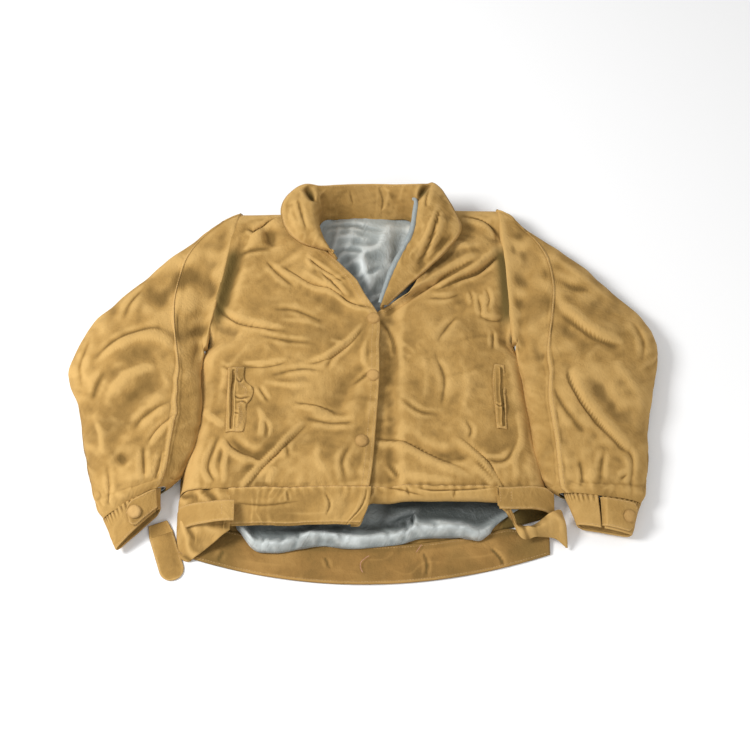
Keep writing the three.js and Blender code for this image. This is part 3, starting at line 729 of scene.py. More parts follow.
for side, folds, seed in ((right, FOLDS_RIGHT, 31), (left, FOLDS_LEFT, 57)):
    grid = front_grid(side, 170, 110)
    wrinkle_front(grid, side, seed)
    grid = soften(lay_folds(grid, folds), 1)
    free = ease((np.abs(grid[..., 0] - side["sign"] * front_edge(side, grid[..., 1])) - 8) / 20)
    free = free * ease((body_side(side, grid[..., 1]) - np.abs(grid[..., 0])) / 25)
    free = free * ease((grid[..., 1] - WAIST_Y) / 12) * ease((side["top"] - grid[..., 1]) / 30)
    grid = drape(grid, side["sign"], 1 - 0.97 * free, 0.03, 5)
    roll_edge(grid)
    fronts[side["name"]] = grid
    # Painted shade in the hollow along the armhole seam, just inside the sleeve.
    beside = np.abs(np.abs(grid[..., 0]) + 10 - drawn(side["side"], grid[..., 1]))
    above = ease((grid[..., 1] - 70) / 40)
    below = ease((235 - grid[..., 1]) / 30)
    shade_and_stain = 1.1 * np.exp(-((beside / 11) ** 2)) * above * below
    front = cut_piece("front_" + side["name"] + "_hide", grid, side["sign"], hide_colour, shade_and_stain=shade_and_stain)
    open_front(front, side)
    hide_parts("front_" + side["name"] + "_side", "front_" + side["name"] + "_flap")

# Facings and front linings
# Behind each free edge is a strip of smoother hide, coloured darker and olive as painted shade.
# The satin lining is sewn to its far edge and hangs a few millimetres inside the hide.
# A darker olive copy of the hide, for painted shade on the facings and the sleeves' under panels.
shaded_hide_colour = suede("suede_facing", (150, 136, 92), (124, 112, 74), (88, 82, 54), 0.7, 0.08)
for side in (right, left):
    sign = side["sign"]
    grid = fronts[side["name"]]
    facing = grid[:, 3:22].copy()
    facing[..., 2] -= HIDE + 0.9
    strip = cut_piece("facing_" + side["name"], facing, sign, shaded_hide_colour, 0.9)
    open_front(strip, side)
    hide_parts("front_" + side["name"] + "_facing")

    inside = soften(grid[:, 20::2].copy(), 3)
    x, y = inside[..., 0], inside[..., 1]
    inside[..., 2] -= 6.2 + crumple(x, y, 30, 61, 70) * 1.6 + rough(x, y, 45, 62) * 1.4
    inside[..., 0] -= sign * 6 * ease((np.abs(x) - 150) / 60)
    inside[..., 1] -= 7 * ease((y - 240) / 40)
    inside[..., 2] = np.maximum(inside[..., 2], SEAM_Z + 1.5)
    cloth = cut_piece("front_lining_" + side["name"], inside, sign, lining_colour, LINING)
    open_front(cloth, side)
    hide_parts("front_" + side["name"] + "_side_lining", "front_" + side["name"] + "_flap_lining")

# Stitching
# Heavy waxed thread, two rows beside most seams. Each stitch is a short round-ended bar that
# is pulled into the hide at both ends.
THREAD = 0.42


def thread(name, light, dark):
    material, tree, shader = new_material(name, 0.7)
    shader.inputs["Sheen Weight"].default_value = 0.3
    shader.inputs["Sheen Roughness"].default_value = 0.5
    colour = tree.nodes.new("ShaderNodeTexNoise")
    colour.inputs["Scale"].default_value = 260
    twist = tree.nodes.new("ShaderNodeTexWave")
    twist.inputs["Scale"].default_value = 900
    place = tree.nodes.new("ShaderNodeTexCoord")
    for node in (colour, twist):
        tree.links.new(place.outputs["Object"], node.inputs["Vector"])
    ends = [(0.35, linear(*dark)), (0.65, linear(*light))]
    tree.links.new(ramp_node(tree, colour.outputs["Fac"], ends), shader.inputs["Base Color"])
    bump_node(tree, shader, [(twist.outputs["Fac"], 0.0001)])
    return material


thread_colour = thread("waxed_thread", (208, 170, 112), (160, 122, 68))


def line_beside(grid, offset):
    """Points that run beside a grid's first column, at an offset from it, along the rows."""
    points = []
    for row in grid:
        away = np.concatenate([[0], np.cumsum(np.linalg.norm(np.diff(row, axis=0), axis=1))])
        points.append([np.interp(offset, away, row[:, k]) for k in range(3)])
    return np.array(points)


def stitches(name, rows_of_points, length=3.0, gap=1.3, radius=THREAD):
    """Separate stitches along lines of points; each line is [points, normals]."""
    verts, faces = [], []
    turns = [2 * math.pi * k / 6 for k in range(6)]
    shape = [(0.0, 0.35, -0.9), (0.14, 0.8, -0.25), (0.5, 1.0, 0.15), (0.86, 0.8, -0.25), (1.0, 0.35, -0.9)]
    for points, normals in rows_of_points:
        run = np.concatenate([[0], np.cumsum(np.linalg.norm(np.diff(points, axis=0), axis=1))])
        start = gap
        while start + length < run[-1]:
            ring = [np.interp(start + s * length, run, points[:, k]) for s in (0, 1) for k in range(3)]
            first, last = np.array(ring[:3]), np.array(ring[3:])
            up = np.array([np.interp(start, run, normals[:, k]) for k in range(3)])
            ahead = last - first
            ahead /= max(np.linalg.norm(ahead), 1e-6)
            across = np.cross(ahead, up)
            base = len(verts)
            for share, thick, lift in shape:
                middle = mix(first, last, share) + up * lift * radius
                for turn in turns:
                    spoke = across * math.cos(turn) + up * math.sin(turn)
                    verts.append((middle + spoke * thick * radius) * MM)
            for ring_index in range(len(shape) - 1):
                for k in range(6):
                    low = base + ring_index * 6
                    n = (k + 1) % 6
                    faces.append([low + k, low + n, low + 6 + n, low + 6 + k])
            faces.append([base + k for k in range(6)])
            faces.append([base + (len(shape) - 1) * 6 + k for k in reversed(range(6))])
            start += length + gap
    mesh = bpy.data.meshes.new(name)
    mesh.from_pydata([tuple(v) for v in verts], [], faces)
    mesh.polygons.foreach_set("use_smooth", [True] * len(mesh.polygons))
    mesh.materials.append(thread_colour)
    piece = bpy.data.objects.new(name, mesh)
    bpy.context.scene.collection.objects.link(piece)
    return piece


def rows_beside(grid, sign, offsets):
    """Lines for stitching beside a grid's first column."""
    normal = facing_of(grid, sign)
    lines = []
    for offset in offsets:
        points = line_beside(grid, offset)
        index = [int(np.argmin(np.linalg.norm(grid[k] - points[k], axis=1))) for k in range(len(points))]
        lines.append((points, np.array([normal[k, index[k]] for k in range(len(points))])))
    return lines


for side in (right, left):
    grid = fronts[side["name"]]
    seam = stitches("stitching_front_" + side["name"], rows_beside(grid, side["sign"], (5.5, 13.5)))
    open_front(seam, side)

# Pockets
# A slit in each front with a folded welt sewn round it, and a flat cotton bag behind.
# The right pocket's welt has sprung open and the left one's is torn at its back edge.
def pocket_grid(side, middle, top_y, width, length, lift, rows=60, columns=16, outline=((0, 1), (1, 1))):
    """Points over a pocket. The outline gives its share of the width from the top down."""
    t = np.linspace(0, 1, rows)[:, None]
    u = np.linspace(-0.5, 0.5, columns)[None, :]
    y = mix(top_y - length, top_y, t) + 0 * u
    distance = middle + width / 2 + (u - 0.5) * width * drawn(outline, 1 - t)
    front = fronts[side["name"]].reshape(-1, 3)
    z = np.empty(y.shape)
    for index in np.ndindex(y.shape):
        gap = (front[:, 0] - side["sign"] * distance[index]) ** 2 + (front[:, 1] - y[index]) ** 2
        near = np.argpartition(gap, 6)[:6]
        z[index] = front[near, 2].mean()
    z = soften(z[..., None], 3)[..., 0]
    round_edge = quarter((0.5 - np.abs(u)) * width / 5.5) * quarter((0.5 - np.abs(t - 0.5)) * length / 5.5)
    return np.stack([side["sign"] * distance, y, z + lift * (0.25 + 0.75 * round_edge)], -1)


RIGHT_POCKET = {
    "middle": 194, "top": 5, "width": 44, "length": 112, "slit": 206.5, "deep": 8,
    "outline": [[0, 0.6], [0.22, 0.64], [0.37, 0.94], [0.5, 0.88], [0.6, 0.72], [0.75, 0.8], [1, 0.62]],
    "folds": [
        ["crease", 3, 4, [(-204, -46), (-194, -50), (-178, -46)]],
        ["crease", 3, 3, [(-200, -57), (-190, -55), (-182, -60)]],
        ["ridge", 6, 3.5, [(-199, -2), (-200, -22), (-198, -42)]],
        ["ridge", 6, 4.5, [(-197, -58), (-196, -78), (-198, -100)]],
        ["crease", 2.5, 3, [(-203, -14), (-196, -22), (-190, -14)]],
        ["crease", 2.5, 3, [(-204, -74), (-194, -78)]],
        ["ridge", 5, 4, [(-178, -4), (-176, -22), (-180, -40)]],
        ["hollow", 5, 4, [(-183, -62), (-180, -84), (-184, -104)]],
        ["ridge", 3, 3, [(-212, 2), (-213, -40), (-210, -104)]],
    ],
}
LEFT_POCKET = {
    "middle": 212, "top": 10, "width": 21, "length": 112, "slit": 217.5, "deep": 5,
    "outline": [[0, 0.8], [0.3, 1], [0.6, 0.9], [1, 0.8]],
    "folds": [
        ["hollow", 3.5, 5, [(219, -2), (220, -20), (218, -36)]],
        ["ridge", 4, 2.5, [(208, 6), (207, -44), (209, -96)]],
        ["crease", 2.5, 3, [(204, -60), (214, -64), (221, -58)]],
        ["ridge", 4, 3, [(221, -42), (223, -58), (220, -76)]],
    ],
}
for side, pocket in ((right, RIGHT_POCKET), (left, LEFT_POCKET)):
    sign = side["sign"]
    name = side["name"]
    width, length = pocket["width"], pocket["length"]
    grid = pocket_grid(side, pocket["middle"], pocket["top"], width, length, 3.0, 100, 44, pocket["outline"])
    x, y = grid[..., 0], grid[..., 1]
    grid[..., 0] += rough(y, y * 0 + 5, 38, 74, 2) * 1.8
    grid[..., 1] += rough(x, y * 0 + 9, 20, 76, 2) * 1.6
    grid[..., 2] += crumple(x, y, 18, 71, 0, 2) * 1.0 + rough(x, y, 30, 72) * 1.2
    slit = sign * pocket["slit"] + rough(y * 0 + 3, y, 30, 73, 2) * 2.4
    along_slit = ease((length / 2 - 3 - np.abs(y - pocket["top"] + length / 2)) / 6)
    grid[..., 2] -= pocket["deep"] * np.exp(-(((x - slit) / 1.7) ** 2)) * along_slit
    grid[..., 2] += 1.8 * np.exp(-(((x - slit - sign * -3.4) / 1.6) ** 2)) * along_slit
    lay_folds(grid, pocket["folds"])
    # Painted shade inside the slit.
    shade_and_stain = 1.3 * np.exp(-(((x - slit) / 1.9) ** 2)) * along_slit
    welt = cut_piece("pocket_welt_" + name + "_hide", grid, sign, hide_colour, 2.2, shade_and_stain=shade_and_stain)
    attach(welt, "root")
    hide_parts("pocket_welt_" + name)
    rows = rows_beside(grid, sign, (12.0, 14.2)) if side is right else rows_beside(grid, sign, (2.6,))
    rows += rows_beside(grid[:, ::-1], -sign, (2.6,))
    short = grid.transpose(1, 0, 2)
    rows += rows_beside(short, -sign, (2.6,)) + rows_beside(short[:, ::-1], sign, (2.6,))
    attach(stitches("stitching_pocket_" + name, rows, 2.6, 1.2), "root")


def cotton(name, light, dark):
    material, tree, shader = new_material(name, 0.95)
    weave = noise_node(tree, 900, 2)
    colour = ramp_node(tree, weave, [(0.3, linear(*dark)), (0.7, linear(*light))])
    tree.links.new(colour, shader.inputs["Base Color"])
    bump_node(tree, shader, [(weave, 0.0002), (noise_node(tree, 60, 3), 0.001)])
    return material


pocket_colour = cotton("pocket_cotton", (168, 170, 160), (120, 122, 112))
for side, middle, top_y in ((right, 196, 2), (left, 200, 8)):
    name = side["name"]
    sign = side["sign"]
    t = np.linspace(0, 1, 40)[:, None]
    u = np.linspace(0, 1, 16)[None, :]
    y = mix(top_y - 138, top_y, t) + 0 * u
    distance = mix(middle - 50, middle, u) + 0 * t
    z = front_top(distance, y) - HIDE - 12 + rough(distance, y, 25, 75) * 0.4
    bag_grid = np.stack([sign * distance, y, z], -1)
    bag = cut_piece("pocket_bag_" + name + "_cotton", bag_grid, sign, pocket_colour, 0.8)
    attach(bag, "root")
    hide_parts("pocket_bag_" + name)

# Front waistbands
# A folded double band, 60 mm deep, sewn under the gathered fronts. The right one stands open
# to its fold, and the left one has rolled under itself, so that half its depth shows.
BAND_PLY = 3.4


def band_grid(side, profile, rolled, first, last, rows=46, columns=120):
    """A band from its seam down: flat profile, or the rolled one where rolled(distance) is 1."""
    t = np.linspace(0, 1, rows)[:, None]
    distance = np.linspace(first, last, columns)[None, :] + 0 * t
    share = rolled(distance)
    arc = t * BAND
    flat_y = WAIST_Y - arc * 0.985 + 2
    flat_z = drawn([[-259, 37], [-230, 43], [-199, 48]], flat_y) - 10 * (distance / 256) ** 2
    turn = quarter(1 - (BAND - arc) / 4)
    flat_z = flat_z - BAND_PLY * 0.5 * np.where(arc > 56, turn, 0)
    roll_y = drawn(profile[0], arc)
    roll_z = drawn(profile[1], arc) - 8 * (distance / 256) ** 2
    y = mix(flat_y, roll_y, share)
    z = mix(flat_z, roll_z, share)
    if side is left:
        z = z - SNAP_STACK * ease((62 - distance) / 26)
    return np.stack([side["sign"] * distance, y, z], -1)


STRAIGHT = [[[0, -197], [60, -257]], [[0, 47], [60, 37]]]
ROLLED = [
    [[0, -194], [10, -203], [20, -212], [28, -217], [36, -216], [46, -206], [60, -192]],
    [[0, 47], [10, 47], [20, 44], [28, 37], [36, 28], [46, 22], [60, 20]],
]
FOLDS_BAND_RIGHT = [
    ["crease", 5, 2.4, [(-196, -222), (-150, -226), (-96, -221)]],
    ["ridge", 8, 2.0, [(-130, -238), (-80, -241), (-30, -236)]],
    ["crease", 4, 2.2, [(-60, -206), (-52, -226), (-58, -244)]],
    ["crease", 3, 1.8, [(-118, -204), (-114, -222)]],
    ["crease", 2.2, 3.0, [(4, -200), (3, -216), (0, -232), (-7, -246), (-16, -258)]],
    ["ridge", 5, 1.8, [(-3, -200), (-4, -218), (-8, -236), (-18, -254)]],
    ["hollow", 10, 2.0, [(-22, -206), (-24, -226), (-34, -250)]],
]
FOLDS_BAND_LEFT = [
    ["pleat", 6, 3.5, [(204, -200), (160, -207), (108, -209), (78, -203)]],
    ["crease", 5, 3.0, [(30, -194), (60, -204), (96, -214)]],
    ["ridge", 7, 2.5, [(110, -214), (150, -215), (186, -214)]],
    ["crease", 4, 2.4, [(64, -198), (70, -214)]],
    ["crease", 4, 2.4, [(140, -204), (136, -216)]],
    ["ridge", 6, 3.0, [(20, -190), (14, -210), (4, -232)]],
]


def unrolled(distance):
    return np.zeros_like(distance)


def half_rolled(distance):
    return ease((distance + 8) / 24) * ease((232 - distance) / 28)


bands = {}
for side, profile, rolled, first, folds in (
    (right, STRAIGHT, unrolled, -11.0, FOLDS_BAND_RIGHT),
    (left, ROLLED, half_rolled, -20.0, FOLDS_BAND_LEFT),
):
    sign = side["sign"]
    name = side["name"]
    grid = band_grid(side, profile, rolled, first, 207)
    x, y = grid[..., 0].copy(), grid[..., 1].copy()
    seam = np.exp(-np.linspace(0, 60, grid.shape[0])[:, None] / 9)
    grid[..., 2] += rough(x, y, 60, 81, 3) * 1.6 + crumple(x, y, 26, 82, 80) * 0.9
    grid[..., 2] += np.sin(x * 0.4 + rough(x, y, 30, 83, 1) * 3) * 0.9 * seam
    grid[..., 1] += rough(x, y * 0, 80, 84, 2) * 2.0
    lay_folds(grid, folds, 1.0)
    if side is right:
        grid[..., 0] -= 20 * ease((grid[..., 0] + 50) / 56) * np.clip((WAIST_Y - y) / 60, 0, 1) ** 2.2
    turned = grid.transpose(1, 0, 2).copy()
    roll_edge(turned, 3.0, 4.5)
    grid = turned.transpose(1, 0, 2)
    bands[name] = grid
    band = cut_piece("waistband_" + name + "_front", grid, -sign, hide_colour, BAND_PLY)
    open_front(band, side)
    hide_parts("waistband_" + name + "_side", "waistband_" + name + "_flap")
    low = rows_beside(grid[::-1].transpose(1, 0, 2), sign, (4.5,)) if side is right else []
    top = rows_beside(grid.transpose(1, 0, 2), -sign, (3.0,))
    sewn = stitches("stitching_waistband_" + name, low + top)
    open_front(sewn, side)

# Hips
# Past each strap the waistband goes on round the hip, gathered, and down to the back.
# On the left it is pulled out to a loop beside the strap; on the right it hangs behind it.
HIP_RIGHT = [
    [[-204, -198, 40], [-203, -232, 38], [-204, -262, 33]],
    [[-222, -198, 38], [-222, -238, 36], [-222, -276, 25]],
    [[-246, -198, 35], [-248, -246, 32], [-244, -290, 14]],
    [[-268, -199, 29], [-272, -252, 25], [-264, -303, 5]],
    [[-281, -203, 20], [-284, -258, 15], [-276, -301, 3]],
    [[-286, -212, 9], [-287, -262, 7], [-281, -294, 2]],
]
HIP_LEFT = [
    [[202, -198, 41], [203, -210, 42], [204, -224, 36]],
    [[212, -212, 38], [219, -228, 41], [222, -243, 31]],
    [[224, -240, 24], [234, -257, 32], [240, -272, 18]],
    [[252, -254, 24], [261, -260, 33], [266, -269, 17]],
    [[282, -236, 28], [286, -252, 35], [290, -271, 15]],
    [[301, -227, 23], [306, -252, 27], [307, -283, 8]],
    [[308, -240, 10], [310, -262, 12], [311, -283, 4]],
]


def loft(stations, rows, columns):
    """A smooth sheet through stations of three points each."""
    stations = np.array(stations, float)
    at = np.linspace(0, len(stations) - 1, columns)
    knots = np.arange(len(stations))
    lines = np.stack(
        [
            np.stack([drawn(list(zip(knots, stations[:, k, axis])), at) for axis in range(3)], -1)
            for k in range(3)
        ]
    )
    t = np.linspace(0, 1, rows)
    grid = np.empty((rows, columns, 3))
    for column in range(columns):
        for axis in range(3):
            grid[:, column, axis] = drawn(list(zip((0, 0.5, 1), lines[:, column, axis])), t)
    return grid


hips = {}
for side, stations in ((right, HIP_RIGHT), (left, HIP_LEFT)):
    name = side["name"]
    sign = side["sign"]
    grid = loft(stations, 44, 60)
    x, y = grid[..., 0].copy(), grid[..., 1].copy()
    gathers = np.sin((x * 0.8 + y * 0.35) * 0.22 + rough(x, y, 40, 91, 2) * 4)
    grid[..., 2] += gathers * 2.0 + crumple(x, y, 18, 92, 100) * 1.2
    grid[..., 2] = np.maximum(grid[..., 2], BAND_PLY + 0.3)
    hips[name] = grid
    hip = cut_piece("waistband_" + name + "_hip_hide", grid, -sign, hide_colour, BAND_PLY - 0.4)
    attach(hip, "root")
    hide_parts("waistband_" + name + "_hip")

# Back waistband
# The same band round the back, which lies flat and curves up to the hips. It is darker and
# browner than the fronts, with painted shade towards its ends and top edge and random darker
# stains, and two loose threads lie on it.
band_colour = suede("suede_back_band", (184, 144, 84), (150, 114, 62), (92, 74, 38), 0.7)
across = np.linspace(-1, 1, 190)[None, :]
down = np.linspace(0, 1, 40)[:, None]
x = across * 284 + 0 * down
reach = np.abs(x)
low_y = BACK_HEM_Y + 43 * (reach / 270) ** 2
width = BAND * mix(1, 0.62, ease((reach - 215) / 60))
y = low_y + (1 - down) * width
z = BAND_PLY + 0.6 + crumple(x, y, 40, 95, 8) * 0.9 + rough(x, y, 90, 96) * 0.8
z += ease((0.15 - down) / 0.15) * 1.5 + 3 * ease((reach - 235) / 50) * (1 - down)
band_back = np.stack([x, y, np.maximum(z, BAND_PLY)], -1)
lay_folds(
    band_back,
    [
        ["crease", 4, 1.6, [(90, -288), (96, -310), (92, -330)]],
        ["crease", 4, 1.4, [(-60, -296), (-52, -316)]],
        ["ridge", 8, 1.8, [(130, -300), (180, -296), (222, -286)]],
        ["pleat", 7, 2.6, [(196, -280), (212, -296), (216, -312)]],
        ["ridge", 8, 1.6, [(-200, -300), (-150, -308), (-100, -312)]],
        ["crease", 5, 2.0, [(-214, -286), (-222, -304)]],
    ],
)
roll_in = band_back[::-1].transpose(1, 0, 2).copy()
roll_edge(roll_in, 2.2, 3.6)
band_back = roll_in.transpose(1, 0, 2)[::-1]
band_back[..., 2] = np.maximum(band_back[..., 2], 1.2)
# Painted shade towards the ends, under the hips, and along the top edge under the lining, with random darker
# stains.
shade_and_stain = 0.5 * ease((reach - 170) / 70) + 0.35 * ease((0.25 - down) / 0.25) + 0.6 * rough(x, y, 60, 97, 3)
waistband_back = cut_piece("waistband_back_hide", band_back, -1, band_colour, 1.2, shade_and_stain=shade_and_stain)
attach(waistband_back, "root")
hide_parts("waistband_back")
sewn_low = rows_beside(band_back[::-1].transpose(1, 0, 2), 1, (5.0,))
sewn_top = rows_beside(band_back.transpose(1, 0, 2), -1, (3.5,))
sewn = stitches("stitching_waistband_back", sewn_low + sewn_top)
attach(sewn, "root")
loose = []
LONG_THREAD = [(-2, -322), (-5, -314), (-4, -306), (2, -300), (8, -296)]
SHORT_THREAD = [(80, -290), (84, -284), (88, -278)]
for points in (LONG_THREAD, SHORT_THREAD):
    way = path_through(points, 30)
    loose.append(np.column_stack([way, np.full(len(way), 7.5)]))
pink_thread = thread("loose_thread", (206, 150, 130), (160, 104, 88))
for number, way in enumerate(loose, 1):
    turn = np.linspace(0, 2 * math.pi, 7)[None, :, None]
    ahead = np.gradient(way, axis=0)[:, None]
    beside = np.cross(ahead, [0, 0, 1.0])
    beside /= np.linalg.norm(beside, axis=2, keepdims=True)
    strand = way[:, None] + 0.45 * (beside * np.cos(turn) + np.array([0, 0, 1.0]) * np.sin(turn))
    end = cut_piece("loose_thread_" + str(number), strand, 1, pink_thread, 0)
    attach(end, "root")

# Waist straps
# Double straps, box-stitched to the band at the front end, that run over the
# hips. At the right back a free tail of the same strap lies on the table.
STRAP = 34.0
STRAP_PLY = 3.0


def strap_grid(line, width, rows=26, columns=90):
    """A strap along a line of [x, y, z, tilt]: the tilt in mm lowers its lower edge."""
    line = np.array(line, float)
    knots = np.arange(len(line))
    at = np.linspace(0, len(line) - 1, columns)
    path = np.stack([drawn(list(zip(knots, line[:, k])), at) for k in range(4)], -1)
    t = np.linspace(0, 1, rows)[:, None]
    y = path[None, :, 1] - t * width
    z = path[None, :, 2] - t * path[None, :, 3]
    x = path[None, :, 0] + 0 * t
    grid = np.stack([x, y, z], -1)
    grid[..., 2] += 1.3 * np.sin(math.pi * t) ** 0.6
    grid[..., 2] += crumple(x, y, 16, 101, 90) * 0.5 + rough(x, y, 30, 102) * 0.8
    rim = np.minimum(t, 1 - t) * width
    grid[..., 2] -= 1.4 * (1 - quarter(rim / 2.5))
    return grid


STRAP_LINES = (
    (right, [[-196, -221, 51, 1], [-212, -221, 51, 1], [-236, -222, 47, 3], [-262, -223, 40, 8],
             [-280, -225, 30, 14], [-286, -230, 18, 10]], 34),
    (left, [[206, -199, 47, 2], [222, -199, 47, 3], [240, -197, 45, 7], [260, -195, 42, 10],
            [279, -196, 36, 13], [292, -202, 26, 11]], 35),
)
for side, line, width in STRAP_LINES:
    name = side["name"]
    sign = side["sign"]
    grid = strap_grid(line, width)
    strap = cut_piece("waist_strap_" + name + "_hide", grid, -sign, hide_colour, STRAP_PLY - 0.4)
    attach(strap, "root")
    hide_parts("waist_strap_" + name)
    rows = rows_beside(grid.transpose(1, 0, 2), -sign, (3.0,))
    rows += rows_beside(grid[::-1].transpose(1, 0, 2), sign, (3.0,))
    box = grid[5:-5, :22]
    rows += rows_beside(box, -sign, (2.0,)) + rows_beside(box[:, ::-1], sign, (1.0,))
    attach(stitches("stitching_strap_" + name, rows), "root")

tail_root = np.array([-311.0, -260.0])
tail_turn = math.radians(19)
tail_half = STRAP / 2 + 2
TAIL = 77.0
t = np.linspace(0, 1, 70)[:, None]
u = np.linspace(-1, 1, 30)[None, :]
run = t * (TAIL + 18) - 18
round_from = TAIL - tail_half
half = tail_half * np.sqrt(np.clip(1 - (np.maximum(run - round_from, 0) / tail_half) ** 2, 0.0004, 1))
half = np.where(run < 0, tail_half * mix(1, 0.8, -run / 18), half)
across_tail = u * half
down_tail = -run + 0 * u
x = tail_root[0] + across_tail * math.cos(tail_turn) - down_tail * math.sin(tail_turn)
y = tail_root[1] + across_tail * math.sin(tail_turn) + down_tail * math.cos(tail_turn)
rim = np.minimum((1 - np.abs(u)) * half, np.maximum(TAIL - run, 0))
z = 3.2 - 1.6 * (1 - quarter(rim / 2.4)) + rough(x, y, 26, 105) * 0.3
z += 2.5 * ease(-run / 18)
tail_grid = np.stack([x, y, np.maximum(z, 1.3)], -1)
joint_row = int(np.searchsorted(run[:, 0], 0))
for label, body, part, nodes in (
    ("strap_tail_right_hide", "strap_tail", tail_grid[joint_row:], "strap_tail_right"),
    ("strap_base_right_hide", "root", tail_grid[: joint_row + 1], "strap_base_right"),
):
    strap = cut_piece(label, part, -1, hide_colour, 1.2)
    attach(strap, body)
    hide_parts(nodes)
    length = 0.077 if body == "strap_tail" else 0.02
    if body == "strap_tail":
        edge_rows = rows_beside(part[:44], -1, (3.2,)) + rows_beside(part[:44, ::-1], 1, (3.2,))
        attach(stitches("stitching_tail", edge_rows), body)

# Sleeves
# Full two-piece sleeves with a forward seam, crumpled lining inside, lying beside the body
# and bent at the elbow. Each section is [outer x, outer y, inner x, inner y, outer z,
# inner z, top, share of the width where the forward seam runs].
right["sections"] = [
    [217, 303, 263, 44, 24, 24, 40, 0.04],
    [291, 242, 268, 1, 24, 30, 50, 0.12],
    [374, 164, 263, -40, 18, 34, 58, 0.7],
    [447, 86, 262, -57, 17, 34, 64, 0.83],
    [474, 8, 263, -72, 17, 33, 66, 0.86],
    [456, -45, 264, -90, 16, 32, 62, 0.86],
    [439, -119, 272, -129, 17, 29, 56, 0.84],
    [424, -180, 288, -169, 18, 27, 50, 0.88],
    [402, -245, 309, -190, 19, 26, 42, 0.93],
]
left["sections"] = [
    [232, 311, 249, 53, 24, 24, 40, 0.04],
    [301, 246, 252, 13, 24, 30, 50, 0.14],
    [377, 187, 257, -12, 18, 34, 58, 0.7],
    [450, 105, 260, -40, 17, 34, 64, 0.83],
    [474, 46, 263, -62, 17, 33, 66, 0.88],
    [463, -13, 267, -85, 16, 32, 62, 0.88],
    [447, -92, 272, -136, 17, 29, 56, 0.86],
    [440, -160, 284, -180, 18, 27, 50, 0.9],
    [430, -218, 303, -203, 19, 26, 42, 0.95],
]


def sleeve_sections(side, at):
    """The sections of a sleeve at positions from 0 (armhole) to 8 (cuff)."""
    table = np.array(side["sections"], float)
    knots = np.arange(len(table))
    return np.stack([drawn(list(zip(knots, table[:, k])), at) for k in range(8)], -1)


def sleeve_grid(side, at, degrees, inset=0.0):
    """Points on a sleeve: 0 degrees is its outer edge, 90 its top and 180 its inner edge."""
    outer_x, outer_y, inner_x, inner_y, outer_z, inner_z, top, _ = sleeve_sections(side, at).T[..., None]
    angle = np.radians(degrees)
    mid_x, mid_y = (outer_x + inner_x) / 2, (outer_y + inner_y) / 2
    half_x, half_y = (outer_x - inner_x) / 2, (outer_y - inner_y) / 2
    width = np.hypot(half_x, half_y)
    share = (width - inset) / width * np.sign(np.cos(angle)) * np.abs(np.cos(angle)) ** 0.93
    middle = mix(outer_z, inner_z, (1 - np.cos(angle)) / 2)
    rise = np.sin(angle)
    above = middle + (top - (outer_z + inner_z) / 2 - inset) * np.sign(rise) * np.abs(rise) ** 0.8
    edge_y = mid_y + half_y * np.cos(angle)
    edge_top = front_top(np.abs(mid_x + half_x * np.cos(angle)), edge_y) - 0.6 - inset
    edge_top = mix(SEAM_Z, edge_top, quarter((side["top"] + 2 - edge_y) / TOP_ROUND))
    head = (1 - ease(at / 1.15))[:, None]
    above = mix(above, mix(middle, edge_top, np.clip(rise * 5, 0, 1)), head)
    below = mix(middle, inset + 0.4, np.minimum(1, -1.6 * rise))
    z = np.where(rise >= 0, above, below)
    roll = (1 - ease((at + 0.02) / 0.14))[:, None]
    dive = (1 - ease((at + 0.06) / 0.06))[:, None]
    distance = mid_x + half_x * share - 9 * roll - 2 * dive
    distance = distance - 9 * ease((-np.cos(angle) - 0.75) / 0.25) * ease((at + 0.1) / 0.4)[:, None]
    lifted = z + np.where(rise > 0, 3 * roll * (1 - dive) - 5 * dive, 0)
    return np.stack([side["sign"] * distance, mid_y + half_y * share, lifted], -1)


FOLDS_SLEEVE_RIGHT = [
    ["ridge", 16, 6, [(-300, 226), (-352, 170), (-400, 110)]],
    ["hollow", 18, 6, [(-276, 196), (-310, 150), (-340, 100)]],
    ["crease", 8, 5, [(-262, 110), (-290, 90), (-330, 84)]],
    ["pleat", 13, 8, [(-300, 40), (-340, 56), (-390, 40), (-430, 4)]],
    ["crease", 8, 5, [(-408, -5), (-420, -30), (-428, -57)]],
    ["ridge", 14, 6, [(-330, 0), (-370, -16), (-410, -60)]],
    ["hollow", 16, 6, [(-310, -30), (-350, -44), (-392, -84)]],
    ["pleat", 9, 6, [(-284, -84), (-310, -108), (-332, -136)]],
    ["crease", 7, 4, [(-300, -60), (-340, -84), (-360, -110)]],
    ["hollow", 9, 6, [(-382, -146), (-362, -164)]],
    ["crease", 6, 5, [(-341, -132), (-338, -162), (-334, -192)]],
    ["ridge", 10, 5, [(-376, -186), (-340, -184), (-304, -172)]],
    ["crease", 5, 4, [(-396, -160), (-390, -200), (-392, -232)]],
    ["crease", 5, 4, [(-312, -140), (-316, -170), (-320, -186)]],
    ["ridge", 12, 5, [(-430, -70), (-410, -110), (-404, -150)]],
    ["crease", 7, 4, [(-440, 60), (-452, 10), (-446, -30)]],
    ["crease", 8, 4, [(-360, 150), (-380, 120), (-388, 84)]],
]
